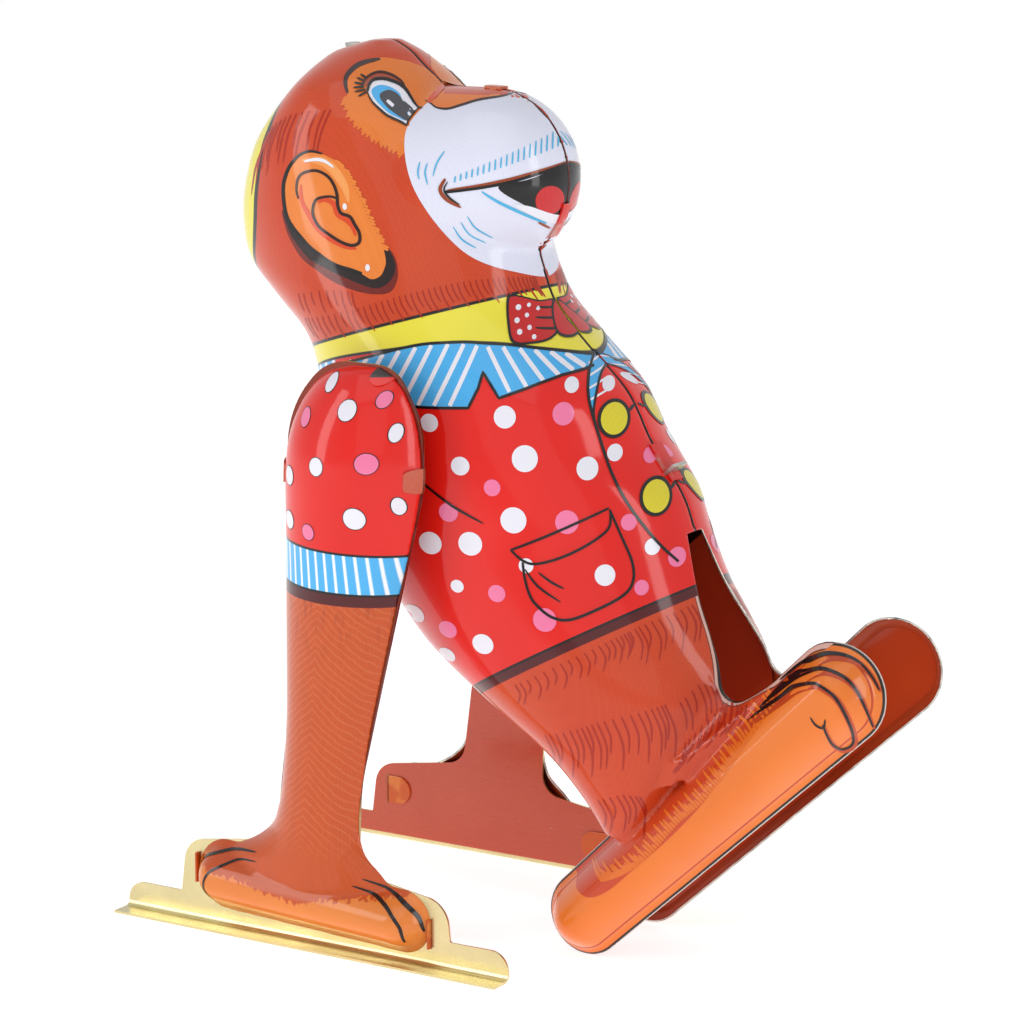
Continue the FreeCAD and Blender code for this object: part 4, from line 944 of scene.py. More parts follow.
# ---------------------------------------------------------------- the drawings, seen from the quarter side
def draw_face(p):
    """Near half of the face. Across runs from the back of the head (negative) to the seam, then height."""
    patch = [(-30.6, 131.6), (-31.0, 133.6), (-30.6, 135.6), (-28.2, 137.0), (-25.8, 137.4), (-22.9, 137.0),
             (-20.8, 136.4), (-18.2, 135.0), (-16.0, 131.5), (-20.6, 122.6), (-22.2, 124.2), (-24.4, 125.5),
             (-26.0, 126.3), (-27.3, 127.2), (-28.6, 128.3), (-29.6, 129.4)]
    p.shape(closed_curve(patch), "face_orange", 1)
    fringe = [(-31.0, 131.8), (-30.5, 130.5), (-29.7, 129.0), (-28.6, 127.9), (-27.3, 126.8),
              (-26.0, 125.9), (-24.4, 125.1), (-23.1, 124.3), (-22.0, 123.8)]
    fringe = arc_through(fringe)
    for index, (a, b) in enumerate(zip(fringe, fringe[1:])):
        reach = 0.5 + 0.7 * ((index * 7) % 5) / 4
        way = np.subtract(b, a)
        out = np.array([way[1], -way[0]]) / (np.linalg.norm(way) + 1e-9)
        if out[1] > 0:
            out = -out
        tip = (a[0] + b[0]) / 2 + out[0] * reach, (a[1] + b[1]) / 2 + out[1] * reach
        inner = (a[0] + b[0]) / 2 - out[0] * 0.9, (a[1] + b[1]) / 2 - out[1] * 0.9
        p.line([inner, tip], 0.45, "face_orange", 1, (1.0, 0.1))
    p.line([(-30.7, 132.3), (-31.1, 133.6), (-31.0, 134.7), (-30.3, 135.6), (-29.2, 136.4), (-27.6, 136.9),
            (-25.9, 137.2)], 0.75, "brow", 3, (0.3, 0.2))
    # muzzle and the top of the nose
    muzzle = [(-18.2, 131.0), (-20.7, 128.6), (-21.7, 126.8), (-21.9, 124.4), (-21.5, 121.6),
              (-20.6, 118.8), (-19.0, 115.9), (-16.6, 112.6), (-13.7, 109.6), (-11.3, 107.9), (-8.4, 106.6),
              (-4.8, 105.5), (-0.7, 104.4), (3.0, 104.2), (6.0, 108.0), (8.0, 118.0), (7.0, 128.0),
              (1.5, 134.0), (-3.0, 133.6), (-6.9, 132.0), (-10.4, 131.4), (-13.2, 130.6), (-15.3, 130.1),
              (-17.0, 130.3)]
    p.shape(closed_curve(muzzle), "muzzle", 2)
    nose = [(-18.9, 131.3), (-17.9, 130.8), (-17.0, 130.3), (-15.3, 130.1), (-13.2, 130.7), (-10.4, 131.5),
            (-6.9, 132.0), (-4.9, 132.6), (-6.5, 134.2), (-12.0, 134.6), (-16.5, 134.2)]
    p.shape(closed_curve(nose), "face_orange", 3)
    p.line([(-18.9, 131.2), (-17.9, 130.7), (-17.0, 130.2), (-15.3, 130.1), (-13.2, 130.7), (-10.4, 131.5),
            (-6.9, 132.0), (-5.2, 132.4)], 0.35, "outline", 4)
    p.line([(-18.4, 130.9), (-17.4, 131.9), (-16.4, 132.9), (-15.2, 134.0)], 0.8, "ear_deep", 5, (0.4, 0.6))
    # eye
    lid = [(-28.6, 133.2), (-28.4, 133.8), (-27.9, 134.5), (-26.9, 135.1), (-25.7, 135.3), (-24.2, 134.9),
           (-23.1, 134.3), (-22.4, 133.7), (-21.9, 132.8)]
    white = [(-27.7, 132.6), (-27.4, 133.6), (-26.7, 134.2), (-25.3, 134.3), (-24.1, 134.0), (-22.9, 133.5),
             (-21.9, 132.7), (-21.2, 131.7), (-20.5, 130.7), (-19.8, 130.1), (-20.8, 129.0), (-21.4, 128.2),
             (-21.6, 127.6), (-22.6, 128.1), (-23.7, 128.6), (-24.7, 129.1), (-25.7, 129.9), (-26.8, 130.9),
             (-27.4, 131.8)]
    p.shape(arc_through(lid) + arc_through(white[1:9][::-1]), "lid", 4)
    p.shape(closed_curve(white), "white", 5)
    iris = [(-27.1, 132.6), (-26.6, 133.2), (-25.7, 133.45), (-24.4, 133.2), (-23.3, 132.6), (-22.7, 132.0),
            (-22.4, 131.2), (-21.1, 129.6), (-21.4, 128.9), (-21.9, 128.3), (-23.3, 128.85),
            (-24.3, 129.35), (-25.4, 130.25), (-26.6, 131.5)]
    p.shape(closed_curve(iris), "iris", 6)
    pupil = [(-25.8, 132.1), (-25.3, 132.5), (-24.4, 132.7), (-23.4, 132.3), (-22.7, 131.7), (-22.3, 131.1),
             (-21.9, 130.9), (-20.8, 130.0), (-20.3, 129.5), (-20.9, 129.2), (-21.3, 128.7), (-21.6, 128.2),
             (-23.0, 129.0), (-24.4, 130.0), (-25.2, 130.8), (-25.7, 131.5)]
    p.shape(closed_curve(pupil), "pupil", 7)
    p.line([(-24.7, 131.2), (-23.7, 130.35)], 0.5, "white", 9, (0.8, 0.8))
    p.line([(-22.5, 131.8), (-21.6, 131.0), (-20.6, 130.1)], 0.5, "white", 8, (0.6, 0.2))
    p.line(lid, 0.32, "outline", 9, (0.6, 0.3))
    p.line(white[:10] + [(-19.2, 130.1)], 0.46, "black", 10, (0.9, 0.2))
    p.line(white[9:] + white[:1], 0.34, "black", 10)
    for start, end in (((-27.8, 132.5), (-29.1, 131.8)), ((-28.0, 132.8), (-29.7, 132.5)),
                       ((-28.2, 133.2), (-29.9, 133.1)), ((-28.3, 133.6), (-29.8, 133.8)),
                       ((-28.1, 134.0), (-29.4, 134.5)), ((-27.8, 134.4), (-28.9, 135.0))):
        p.line([start, end], 0.3, "black", 9, (0.9, 0.1))
    # mouth
    p.shape(closed_curve([(-7.6, 118.9), (-2.8, 120.0), (3.0, 121.8), (6.5, 121.0), (5.0, 116.0),
                          (1.0, 113.9), (-3.7, 116.1)]), "black", 4)
    p.disc((0.2, 116.6), 2.2, "tongue", 5)
    p.shape(closed_curve([(-5.0, 115.9), (0.6, 112.9), (4.5, 112.5), (4.6, 113.6), (1.0, 114.3),
                          (-3.0, 115.9)]), "white", 6)
    p.line([(-15.8, 118.0), (-10.2, 118.9), (-5.8, 119.8), (-2.2, 120.7), (3.4, 122.0)], 0.75, "black", 6,
           (0.5, 0.6))
    p.line([(-15.3, 118.35), (-10.2, 119.2), (-5.8, 120.1), (-2.2, 121.0), (3.0, 122.3)], 0.4, "lip", 7)
    p.line([(-15.6, 120.0), (-16.4, 118.4), (-15.4, 116.9), (-13.2, 115.7)], 0.6, "lip", 7, (0.4, 0.1))
    p.line([(-15.2, 119.6), (-15.8, 118.4), (-15.0, 117.2), (-13.4, 116.1)], 0.3, "black", 8)
    for index in range(19):
        u, foot = -14.2 + 0.87 * index, 119.5 + 0.28 * index
        p.line([(u, foot), (u + 0.12, foot + 1.0 + 0.085 * index)], 0.26, "blue", 5, (0.8, 0.3))
    for strand in (((-19.5, 122.4), (-19.8, 120.9), (-19.6, 119.8)),
                   ((-18.3, 122.3), (-18.7, 120.9), (-18.3, 119.0)),
                   ((-15.7, 124.1), (-16.9, 122.3), (-17.5, 120.3)),
                   ((-12.3, 114.4), (-11.0, 112.5), (-8.4, 110.9)),
                   ((-13.3, 113.5), (-12.0, 111.5), (-9.5, 110.1)),
                   ((-14.5, 112.8), (-13.2, 110.8), (-11.0, 109.4))):
        p.line(strand, 0.26, "blue", 5)
    p.line([(-10.1, 118.2), (-8.1, 116.9), (-5.8, 115.7), (-2.0, 113.8), (-0.3, 113.0)], 0.5, "blue", 5,
           (0.3, 0.3))
    p.line([(-1.6, 113.3), (0.3, 112.1)], 0.4, "lip", 7)


def draw_ear(p):
    edge = [(-34.5, 123.3), (-36.4, 123.6), (-38.0, 123.0), (-39.3, 121.7), (-40.1, 120.3), (-40.7, 118.3),
            (-40.7, 115.9), (-40.3, 113.6), (-39.5, 112.1), (-38.2, 110.6), (-36.6, 109.0), (-35.0, 107.9),
            (-33.4, 106.9), (-31.8, 106.3), (-30.0, 105.9), (-28.4, 105.4), (-26.9, 104.7), (-25.6, 105.2),
            (-25.0, 106.2), (-24.7, 107.4), (-25.0, 109.2)]
    cheek_side = [(-32.5, 122.4), (-31.1, 121.0), (-30.2, 119.6), (-29.4, 118.1), (-28.5, 116.6),
                  (-27.9, 115.1), (-27.0, 113.3), (-26.2, 111.8), (-25.6, 110.7), (-25.1, 109.5)]
    shade = [(-40.6, 114.4), (-40.5, 111.6), (-39.3, 109.0), (-37.7, 106.9), (-35.5, 105.5), (-33.4, 104.2),
             (-31.1, 103.3), (-28.7, 102.7), (-26.4, 102.5), (-24.1, 102.9), (-23.0, 104.7), (-23.0, 107.0),
             (-23.8, 108.9), (-25.0, 109.6), (-27.0, 108.0), (-34.0, 109.0)]
    p.shape(closed_curve(shade), "ear_shadow", 1)
    dark = [(-40.4, 114.1), (-40.0, 111.4), (-38.7, 109.3), (-36.9, 107.3), (-35.0, 106.3), (-31.8, 105.0),
            (-28.7, 103.9), (-25.9, 103.4), (-23.8, 104.9), (-23.3, 107.2), (-24.7, 109.4), (-27.0, 107.5),
            (-34.0, 109.0)]
    p.shape(closed_curve(dark), "ear_dark", 2)
    p.shape(arc_through(edge) + arc_through(cheek_side[::-1]), "ear", 3)
    combed(p, cheek_side, 26, (0.5, -0.25), (0.9, -0.35), 0.4, "ear", 3)
    glow = [(-37.8, 122.2), (-35.0, 122.9), (-32.6, 121.8), (-30.6, 119.0), (-30.4, 116.0), (-31.8, 118.6),
            (-34.4, 121.4)]
    p.shape(closed_curve(glow), "ear_light", 4)
    p.line(edge[:-5], 0.62, "black", 5, (0.3, 0.9))
    p.line([(-37.9, 118.5), (-37.8, 116.2), (-36.8, 114.2), (-35.3, 112.0), (-33.4, 110.5), (-31.0, 109.4),
            (-29.2, 109.2)], 0.8, "ear_deep", 5)
    p.line([(-35.2, 115.9), (-34.1, 116.4), (-32.7, 115.8), (-32.1, 114.3), (-30.9, 113.6), (-29.9, 112.6),
            (-29.3, 111.1)], 0.9, "ear_deep", 5)
    p.line([(-38.3, 116.3), (-38.6, 117.6), (-38.4, 119.2), (-37.6, 120.2), (-36.1, 120.7), (-34.9, 120.6),
            (-33.6, 119.9), (-32.7, 118.7), (-32.2, 117.2), (-32.1, 115.7), (-31.6, 114.5), (-30.2, 114.0),
            (-29.5, 112.9), (-28.8, 111.7), (-28.7, 110.4), (-29.3, 109.8), (-30.3, 109.7), (-31.8, 110.2),
            (-33.4, 111.1), (-35.0, 112.2), (-35.9, 113.7), (-36.0, 115.0), (-35.5, 116.3), (-34.3, 116.8),
            (-33.0, 116.9), (-32.1, 116.6)], 0.5, "outline", 7, (0.5, 0.6))
    p.line([(-37.4, 122.0), (-35.6, 122.4), (-34.1, 122.2), (-32.7, 121.3)], 0.5, "white", 7)
    p.disc((-31.0, 115.5), 0.33, "white", 7, stretch=1.5)
    p.disc((-27.5, 106.4), 0.36, "white", 7, stretch=1.5)


def combed(p, path, count, bend, reach, width, ink_name, layer, wander=0.25):
    """A row of short curved hairs that start along a path; bend and reach are their middle and end."""
    path = arc_through(path)
    for index in range(count):
        place = index / (count - 1) * (len(path) - 1)
        low = min(int(place), len(path) - 2)
        start = np.add(np.multiply(path[low], low + 1 - place), np.multiply(path[low + 1], place - low))
        sway = 1 + wander * math.sin(index * 2.4)
        middle = start + np.multiply(bend, sway)
        end = start + np.multiply(reach, sway)
        p.line([tuple(start), tuple(middle), tuple(end)], width, ink_name, layer, (0.7, 0.1))


def draw_fur(p):
    """Combed rows of darker hairs, and the fringe where the fur meets the foot."""
    for path, count, bend, reach, width in (
        ([(-5.1, 45.0), (1.7, 49.2), (8.4, 52.6), (12.0, 54.2)], 19, (0.8, -1.4), (0.5, -3.1), 0.3),
        ([(12.8, 54.6), (15.1, 55.4), (18.6, 56.4), (21.6, 57.2)], 10, (1.2, -2.2), (0.9, -4.6), 0.3),
        ([(-0.5, 37.3), (3.9, 39.2), (7.7, 40.8), (13.6, 42.5), (17.3, 43.6)], 20,
         (1.3, -3.2), (1.3, -6.6), 0.34),
        ([(19.6, 43.9), (22.4, 46.1), (24.9, 45.9)], 7, (0.9, -2.2), (1.0, -4.4), 0.32),
        ([(7.5, 27.8), (10.7, 29.3), (13.7, 29.0)], 8, (1.2, -2.6), (1.0, -5.4), 0.34),
        ([(20.5, 37.7), (25.3, 42.6), (29.6, 45.6)], 12, (-0.6, -2.4), (-2.0, -4.6), 0.34),
        ([(-44.3, 123.3), (-42.9, 126.5), (-40.4, 128.5), (-37.2, 129.5), (-33.3, 129.9)], 15,
         (-1.3, -3.2), (-2.0, -7.0), 0.32),
        ([(-37.7, 97.6), (-30.3, 99.9), (-22.5, 102.4), (-14.9, 104.2), (-7.3, 104.9), (-2.0, 104.6)], 44,
         (0.5, -1.4), (1.5, -2.9), 0.28),
        ([(-38.6, 101.5), (-34.0, 102.6), (-30.0, 102.6)], 9, (0.3, -1.4), (0.9, -2.8), 0.28),
    ):
        combed(p, path, count, bend, reach, width, "comb", 1)
    fringe = [(8.3, 14.6), (10.9, 16.0), (13.8, 18.4), (16.7, 22.0), (19.4, 25.8), (22.3, 29.0),
              (25.0, 32.8), (27.2, 36.4), (29.6, 40.4), (33.2, 46.0)]
    combed(p, fringe, 74, (-0.5, 0.5), (-1.3, 1.1), 0.5, "foot_orange", 2, 0.45)


def draw_collar(p):
    top = [(-30.5, 91.9), (-26.5, 93.4), (-22.5, 94.7), (-19.0, 95.5), (-15.6, 95.8), (-12.5, 95.9),
           (-9.6, 95.7), (-6.0, 95.4), (-2.2, 94.8), (2.5, 94.0), (7.2, 93.0)]
    low = [(7.0, 91.7), (5.6, 91.4), (2.0, 90.9), (-1.3, 90.0), (-4.4, 89.0), (-7.5, 88.0), (-9.9, 91.7),
           (-10.6, 89.4), (-12.1, 86.5), (-16.4, 86.3), (-20.5, 86.2), (-30.5, 86.4)]
    p.shape(top + low, "collar", 2)
    for top_u, top_z, foot_u, foot_z in (
            (-30.0, 92.4, -32.6, 88.0), (-27.6, 93.1, -30.8, 87.0), (-25.1, 93.9, -28.9, 86.7),
            (-22.6, 94.6, -26.9, 86.6), (-20.1, 95.2, -24.6, 86.5), (-17.7, 95.6, -22.2, 86.5),
            (-15.2, 95.8, -19.7, 86.5), (-12.8, 95.8, -17.3, 86.6), (-10.8, 95.6, -14.9, 86.7),
            (-9.2, 95.4, -5.9, 88.9), (-6.9, 95.3, -3.3, 89.5), (-4.4, 95.0, -0.8, 90.3),
            (-2.1, 94.7, 1.6, 90.9), (0.3, 94.3, 3.8, 91.4), (2.6, 93.9, 5.6, 91.7)):
        p.line([(foot_u, foot_z), (top_u, top_z - 0.2)], 0.66, "white", 3, (0.9, 0.9), curved=False)
    p.line(low[::-1], 0.42, "black", 4, (0.9, 0.9), curved=False)
    p.line(top, 0.42, "black", 4, (0.9, 0.9))
    # bow tie
    bow = [(-6.0, 101.4), (-5.4, 102.0), (-3.6, 101.6), (-1.4, 100.9), (1.0, 100.6), (1.6, 97.6),
           (0.2, 96.0), (-2.6, 95.6), (-5.2, 95.9), (-5.9, 98.4)]
    p.shape(closed_curve([(-2.2 + (u + 2.2) * 1.1, 98.7 + (z - 98.7) * 1.1) for u, z in bow]), "black", 5)
    p.shape(closed_curve(bow), "bow_red", 6)
    for u, z, r in ((-4.6, 100.4, 0.42), (-3.0, 100.6, 0.3), (-4.8, 98.6, 0.4), (-3.3, 99.2, 0.32),
                    (-4.4, 97.0, 0.4), (-2.9, 97.5, 0.34), (-2.2, 96.2, 0.34), (-1.6, 100.0, 0.3)):
        p.disc((u, z), r, "white", 7)
    for z in (100.0, 98.6, 97.2):
        p.line([(1.2, z - 0.2), (-0.6, z), (-2.0, z + 0.2)], 0.34, "black", 7, (0.9, 0.1))
    knot = [(1.0, 100.6), (2.6, 100.4), (4.4, 99.0), (5.4, 97.4), (4.0, 96.0), (1.8, 96.4), (0.9, 98.4)]
    p.shape(closed_curve([(2.9 + (u - 2.9) * 1.16, 98.2 + (z - 98.2) * 1.16) for u, z in knot]), "black", 7)
    p.shape(closed_curve(knot), "bow_red", 8)


def draw_jacket(p):
    for ink_name, dots in (
        ("white", ((-18.0, 84.0, 1.35), (-6.6, 85.3, 1.65), (-3.6, 79.3, 1.95), (-13.3, 77.9, 1.4),
                   (5.8, 77.7, 1.65), (-5.3, 70.2, 1.95), (-11.8, 66.2, 1.8), (-17.9, 65.6, 1.75),
                   (3.5, 89.5, 1.1), (9.2, 89.1, 1.0), (10.0, 79.6, 1.2), (15.6, 66.0, 1.2),
                   (-3.4, 63.5, 1.1), (8.4, 62.3, 1.55), (-13.8, 59.4, 1.0), (-9.9, 50.8, 1.6),
                   (-20.6, 52.9, 1.6), (-15.5, 47.2, 1.3))),
        ("pink", ((2.2, 85.6, 1.65), (-8.5, 74.9, 1.25), (-15.1, 70.7, 1.45), (2.7, 70.1, 1.75),
                  (12.0, 69.8, 1.2), (19.4, 64.1, 1.4), (-7.8, 59.0, 1.3), (13.9, 60.3, 1.1),
                  (-0.6, 55.6, 1.75), (-15.3, 52.0, 1.4), (15.5, 78.6, 1.1))),
    ):
        for u, z, r in dots:
            p.disc((u, z), r, ink_name, 2)
    edge = [(7.2, 93.4), (6.2, 91.0), (6.1, 87.3), (7.8, 81.5), (9.4, 77.0), (11.5, 73.0), (14.2, 69.2),
            (16.8, 66.1), (19.6, 63.4)]
    p.line(edge, 0.45, "black", 5, (0.8, 0.8))
    lining = [(7.2, 93.3), (6.3, 91.0), (6.1, 87.6), (6.8, 85.6), (7.4, 88.2), (8.2, 90.6), (9.6, 92.0)]
    p.shape(closed_curve(lining), "collar", 3)
    for z in (87.0, 88.6, 90.2, 91.8):
        p.line([(6.1, z + 0.2), (8.9, z + 1.3)], 0.3, "white", 4, (0.9, 0.9))
    p.line([(9.8, 92.2), (8.2, 90.8), (7.3, 88.4), (6.8, 85.6), (7.2, 83.4)], 0.4, "black", 5, (0.8, 0.2))
    for u, z in ((9.9, 84.3), (16.2, 73.0)):
        p.disc((u, z), 2.05, "yellow", 7, 0.5, stretch=1.1, lean=0.2)
        p.line([(u + 2.4, z + 0.7), (u + 3.2, z + 1.5)], 0.5, "black", 5)
    # pocket with its sagging flap
    p.line([(-5.7, 65.7), (-1.0, 67.7), (4.0, 69.9), (9.0, 72.0)], 0.4, "black", 5, (0.8, 0.8), curved=False)
    p.line([(-5.7, 65.7), (-4.0, 64.3), (-2.2, 63.8), (0.8, 64.5), (4.2, 65.9), (7.5, 67.8), (9.1, 69.4),
            (9.2, 71.8)], 0.4, "black", 5, (0.8, 0.8))
    p.line([(-3.9, 64.0), (-3.6, 61.7), (-2.9, 59.3), (-1.9, 57.8), (0.4, 56.1), (3.1, 55.8), (7.1, 57.3),
            (11.1, 59.3), (12.6, 61.2), (12.5, 64.0), (10.8, 68.0), (9.2, 71.6)], 0.42, "black", 5,
           (0.8, 0.8))
    p.line([(-3.6, 63.0), (-1.6, 60.5), (1.8, 58.3)], 0.36, "black", 5)
    p.line([(-1.6, 62.6), (0.4, 61.2), (2.3, 60.3)], 0.36, "black", 5)
    p.line([(-19.0, 74.8), (-14.6, 71.8), (-9.7, 69.4)], 0.4, "black", 5, (0.8, 0.1))


def draw_toes(p):
    for toe in (
        [(29.4, 42.2), (33.8, 46.8), (35.8, 48.9), (38.0, 50.1), (39.4, 49.8), (41.2, 48.5), (42.7, 46.0),
         (44.1, 42.6), (44.3, 40.4), (42.9, 39.5), (41.4, 40.5), (40.3, 42.4), (39.6, 44.2)],
        [(31.0, 44.1), (34.0, 47.6), (36.6, 50.4), (38.6, 51.8), (40.4, 52.0), (42.7, 51.1), (44.3, 49.4),
         (45.5, 47.1), (47.1, 43.4)],
        [(34.1, 48.4), (36.9, 51.4), (39.5, 53.3), (41.6, 53.8), (43.7, 53.5), (45.4, 52.5), (46.8, 50.9),
         (47.8, 49.1)],
    ):
        p.line([(u + 0.25, z - 0.3) for u, z in toe], 0.9, "toe_shade", 2, (0.1, 0.3))
        p.line(toe, 0.42, "black", 4, (0.1, 0.6))
    p.line([(37.8, 45.2), (38.6, 44.1), (39.7, 43.7), (39.9, 45.2)], 0.36, "black", 4)


def draw_sleeve(p):
    """Dots of the sleeve and the finger lines, seen square to the arm."""
    for y, z, r, stretch in ((19.1, 90.3, 1.2, 1.3), (14.7, 86.7, 1.6, 1.1), (7.9, 83.5, 0.85, 1.85),
                             (18.9, 78.1, 1.45, 1.1), (25.6, 75.8, 1.5, 1.1),
                             (7.6, 72.4, 0.85, 1.85), (13.1, 70.5, 1.8, 1.05), (26.2, 68.8, 1.6, 1.0)):
        p.disc((-y, z), r * 0.87, "white", 3, 0.12, stretch=stretch)
    for y, z, r, stretch in ((10.1, 88.3, 1.05, 1.3), (22.5, 85.0, 1.3, 1.25), (11.0, 79.0, 1.8, 1.0),
                             (21.3, 67.7, 1.4, 1.0)):
        p.disc((-y, z), r * 0.87, "pink", 3, 0.12, stretch=stretch)
    for finger in ([(34.6, 14.4), (38.6, 13.9), (42.6, 12.9), (45.6, 11.6), (47.0, 9.4)],
                   [(34.4, 13.0), (38.0, 12.6), (40.6, 11.5), (42.9, 10.0), (43.9, 7.6), (43.2, 4.9)],
                   [(15.6, 12.7), (11.0, 11.3), (7.6, 10.0), (5.5, 8.2), (4.8, 5.8)],
                   [(17.0, 11.6), (12.4, 10.4), (9.0, 8.9), (7.1, 6.9), (7.0, 4.3)]):
        p.line([(-y, z) for y, z in finger], 0.42, "black", 4, (0.1, 0.5))


# ---------------------------------------------------------------- the inks and materials
INKS = {name: ink(name, *codes) for name, codes in {
    "black": ("0c080a",), "outline": ("2a0c08",), "brow": ("2e1a18", "4a3a3a"), "white": ("e9e8f2",),
    "muzzle": ("dadcee", "e4e6f6", 0.5), "face_orange": ("e98030", "d4661e", 0.35),
    "iris": ("4db2ee", "3aa0e0", 0.3), "pupil": ("3c3c44",), "lid": ("a04a34",),
    "pink": ("ee7aa4",), "tongue": ("d3262a", "a81418", 0.3), "lip": ("a5481c", "6e2410", 0.4),
    "blue": ("4fb2de",), "ear": ("ec8838", "dc7028", 0.4), "ear_light": ("f2a460", "ec8838", 0.3),
    "ear_deep": ("d8461c",), "ear_shadow": ("7c2016", "5a140c", 0.5), "ear_dark": ("1e1010",),
    "comb": ("a82408",), "foot_orange": (FOOT_ORANGE,), "collar": (COLLAR_BLUE, "36a0e0", 0.3),
    "bow_red": ("cc1f20", "a51014", 0.3), "yellow": ("e2d433", "c4b01e", 0.3),
    "toe_shade": ("c0461a", "a83410", 0.3),
}.items()}
MATERIALS = {
    "printed_body": body_paint(), "printed_arm": arm_paint(), "inside": printed_inside(), "edge": cut_edge(),
    "pan": pan_paint("pan_lacquer"), "tab": tab_paint("tab_orange", "c85a20", "e08a3c"),
    "tab_red": tab_paint("tab_red", "d41c12", "b9a79a"), "plate": plate_paint(),
    "tin": bare("bare_tin", "c8c6c0", "7d7a74", 0.28),
    "steel": bare("motor_steel", "a9abae", "6f7277", 0.32, (0.2, 1, 1)),
    "brass": bare("wheel_brass", "d2a84c", "9a7630", 0.3),
    "spring": bare("spring_steel", "596173", "2d3542", 0.25),
}


def sheet_of(obj, outside):
    """Gives an open pressing its thickness, its print, its plain inside and its cut edge."""
    obj.data.materials.clear()
    obj.data.materials.append(MATERIALS[outside])
    obj.data.materials.append(MATERIALS["inside"])
    obj.data.materials.append(MATERIALS["edge"])
    sheet = obj.modifiers.new("sheet", "SOLIDIFY")
    sheet.thickness = TIN * MM
    sheet.offset = -1
    sheet.use_rim = True
    sheet.material_offset = 1
    sheet.material_offset_rim = 2
    return smooth(baked(obj))


def roll_seam(obj):
    """Turns the seam edge of a half body inward a little, as the pressing's edge is."""
    mesh = obj.data
    moved = []
    for vertex in mesh.vertices:
        place = vertex.co / MM
        if place.x < SEAM_WIDTH and sole_rise(place.y, place.z) > LEAN_END + 0.2:
            share = 1 - place.x / SEAM_WIDTH
            depth = SEAM_ROLL * (1 - math.sqrt(max(0.0, 1 - share * share)))
            moved.append((vertex.index, vertex.normal * -depth))
    for index, shift in moved:
        mesh.vertices[index].co += shift * MM
        mesh.vertices[index].co.x = max(mesh.vertices[index].co.x, 0.05 * MM)
    return obj


def on_near_half(point):
    """Whether a point of the skin lies on the half at negative X, outside the legs' parting face."""
    rise = sole_rise(point.y, point.z)
    if rise > LEAN_END:
        return point.x < INK_PAST_SEAM
    return point.x < -min(FOOT_PLANE, FOOT_PLANE - LEAN_SLOPE * (rise - LEAN_START)) - INK_FROM_PARTING


roll_seam(left_body)
right_body = mirrored(left_body, "right_body")
right_arm = mirrored(left_arm, "right_arm")
body_print = Print([body_skin], QUARTER_VIEW, on_near_half)
for draw in (draw_face, draw_ear, draw_fur, draw_collar, draw_jacket, draw_toes):
    draw(body_print)
right_body_print = body_print.finished("right_body_print", INKS)
bpy.data.meshes.remove(body_skin.data)
arm_print = Print([right_arm], (0, -1, 0), lambda c: c.x < -ARM_PLANE - 0.15)
draw_sleeve(arm_print)
right_arm_print = arm_print.finished("right_arm_print", INKS)


def hand_tab(name, slot_y, free_y, low, high):
    """Tab of the near arm shell, through its slot and bent flat behind the plate, with a round end."""
    inner_face = -ARM_PLANE + PLATE_TIN
    direction = 1 if free_y > slot_y else -1
    half = (high - low) / 2
    outline = [(slot_y, low), (slot_y, high)]
    for turn in np.linspace(90, -90, 13):
        angle = math.radians(turn)
        outline.append((free_y - direction * half * (1 - math.cos(angle)),
                        (low + high) / 2 + half * math.sin(angle)))
    flat = prism_solid(outline, inner_face, inner_face + TIN)
    through = prism_solid([(slot_y, low), (slot_y, high), (slot_y + direction * TIN, high),
                           (slot_y + direction * TIN, low)], -ARM_PLANE - 0.8, inner_face + TIN)
    points = np.vstack([flat[0], through[0]])
    faces = list(flat[1]) + [tuple(len(flat[0]) + i for i in face) for face in through[1]]
    tab = recalculated(mesh_object(name, points, faces))
    soft = tab.modifiers.new("soft", "BEVEL")
    soft.width = 0.08 * MM
    soft.segments = 2
    baked(tab)
    tab.data.materials.append(MATERIALS["tab"])
    return tab


hand_tabs = [hand_tab("right_back_tab", 48.7, 44.0, 6.6, 11.5), hand_tab("right_front_tab", 4.0, 9.6, 3.0,
                                                                         7.7)]
hand_tabs += [mirrored(tab, tab.name.replace("right", "left")) for tab in hand_tabs]
for tab in hand_tabs:
    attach(tab, "arms")
left_body_print = mirrored(right_body_print, "left_body_print")
left_arm_print = mirrored(right_arm_print, "left_arm_print")

for obj, name, slot, body in (
    (left_body, "left_body", "printed_body", "toy_body"),
    (right_body, "right_body", "printed_body", "toy_body"),
    (left_arm, "left_arm", "printed_arm", "arms"),
    (right_arm, "right_arm", "printed_arm", "arms"),
):
    sheet_of(obj, slot)
    obj.name = name + "_sheet"
    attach(obj, body)
    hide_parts(name + "_shell")
for obj, slot, body in (
    (left_body_print, "printed_body", "toy_body"), (right_body_print, "printed_body", "toy_body"),
    (left_arm_print, "printed_arm", "arms"), (right_arm_print, "printed_arm", "arms"),
):
    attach(obj, body)

SLOT_LOOKS = {"pan_lacquer": "pan", "arm_plate_gold": "plate", "bare_tin": "tin", "motor_steel": "steel",
              "wheel_brass": "brass", "spring_steel": "spring", "printed_body": "printed_body",
              "printed_arm": "printed_arm"}
TAB_LOOKS = {"nose_tab": "tab", "mouth_tab": "tab_red", "chest_tab": "tab_red"}
for name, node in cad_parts.items():
    for place in node.material_slots:
        base_name = place.material.name.split(".")[0] if place.material else ""
        if base_name in SLOT_LOOKS:
            place.material = MATERIALS[TAB_LOOKS.get(name, SLOT_LOOKS[base_name])]

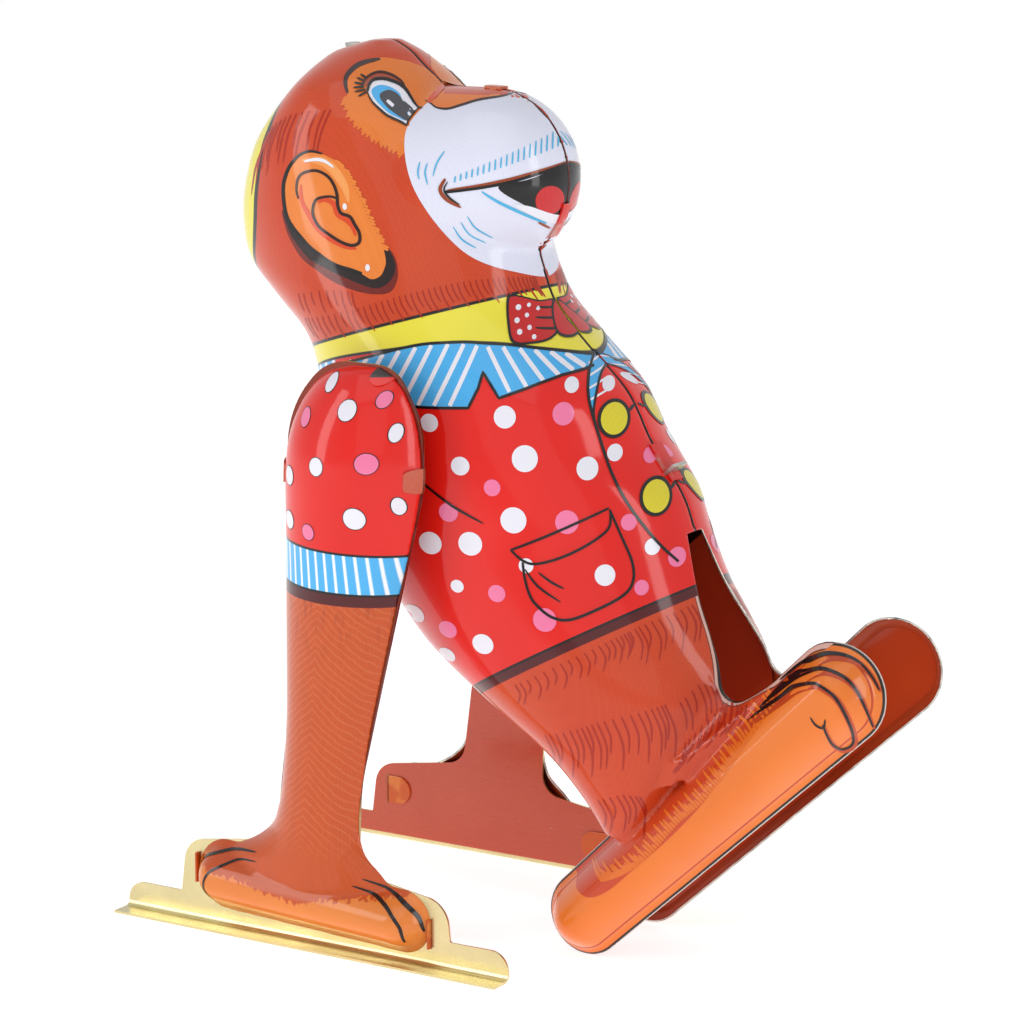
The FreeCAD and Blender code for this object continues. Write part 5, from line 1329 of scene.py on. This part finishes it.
# ---------------------------------------------------------------- floor, light and camera
floor_mesh = bpy.data.meshes.new("floor")
floor_mesh.from_pydata([(-4, -4, 0), (4, -4, 0), (4, 4, 0), (-4, 4, 0)], [], [(0, 1, 2, 3)])
floor = placed(bpy.data.objects.new("floor", floor_mesh))
floor_paint = Paint("floor_white").base("f7f7f7")
floor_paint.link(floor_paint.colour, floor_paint.shader.inputs["Base Color"])
floor_paint.shader.inputs["Roughness"].default_value = 0.9
floor_paint.shader.inputs["Emission Color"].default_value = (1, 1, 1, 1)
floor_paint.shader.inputs["Emission Strength"].default_value = FLOOR_GLOW
floor_mesh.materials.append(floor_paint.material)


def softbox(name, place, target, width, height, power, colour=(1, 1, 1)):
    light = bpy.data.lights.new(name, "AREA")
    light.shape = "RECTANGLE"
    light.size, light.size_y = width, height
    light.energy = power
    light.color = colour
    obj = placed(bpy.data.objects.new(name, light))
    obj.location = place
    obj.rotation_euler = (Vector(target) - Vector(place)).to_track_quat("-Z", "Y").to_euler()


middle = (0, 0, 0.07)
softbox("left_box", (-0.55, 0.45, 0.35), middle, 0.2, 0.7, 1.7)
softbox("right_box", (-0.05, -0.75, 0.3), middle, 0.16, 0.7, 1.5)
softbox("top_box", (-0.25, -0.1, 0.8), middle, 0.7, 0.7, 1.3)
softbox("front_fill", (-0.9, -0.5, 0.5), middle, 0.8, 0.8, 0.9)

world = bpy.data.worlds.new("studio")
world.use_nodes = True
sky = world.node_tree.nodes["Background"]
sky.inputs["Color"].default_value = (1, 1, 1, 1)
seen_by = world.node_tree.nodes.new("ShaderNodeLightPath")
glow_level = world.node_tree.nodes.new("ShaderNodeMapRange")
glow_level.inputs["To Min"].default_value = SKY_LIGHT
glow_level.inputs["To Max"].default_value = SKY_SEEN
world.node_tree.links.new(seen_by.outputs["Is Camera Ray"], glow_level.inputs["Value"])
glossy_glow = world.node_tree.nodes.new("ShaderNodeMath")
glossy_glow.operation = "MULTIPLY_ADD"
glossy_glow.inputs[1].default_value = SKY_GLOSS
world.node_tree.links.new(seen_by.outputs["Is Glossy Ray"], glossy_glow.inputs[0])
world.node_tree.links.new(glow_level.outputs[0], glossy_glow.inputs[2])
world.node_tree.links.new(glossy_glow.outputs[0], sky.inputs["Strength"])
bpy.context.scene.world = world

lens = bpy.data.cameras.new("camera")
lens.lens = CAMERA_LENS
lens.sensor_width = 36
lens.clip_start = 0.01
camera = placed(bpy.data.objects.new("camera", lens))
camera.location = CAMERA_PLACE
camera.rotation_euler = (Vector(CAMERA_TARGET) - camera.location).to_track_quat("-Z", "Y").to_euler()
bpy.context.scene.camera = camera
bpy.context.scene.view_settings.view_transform = "Standard"
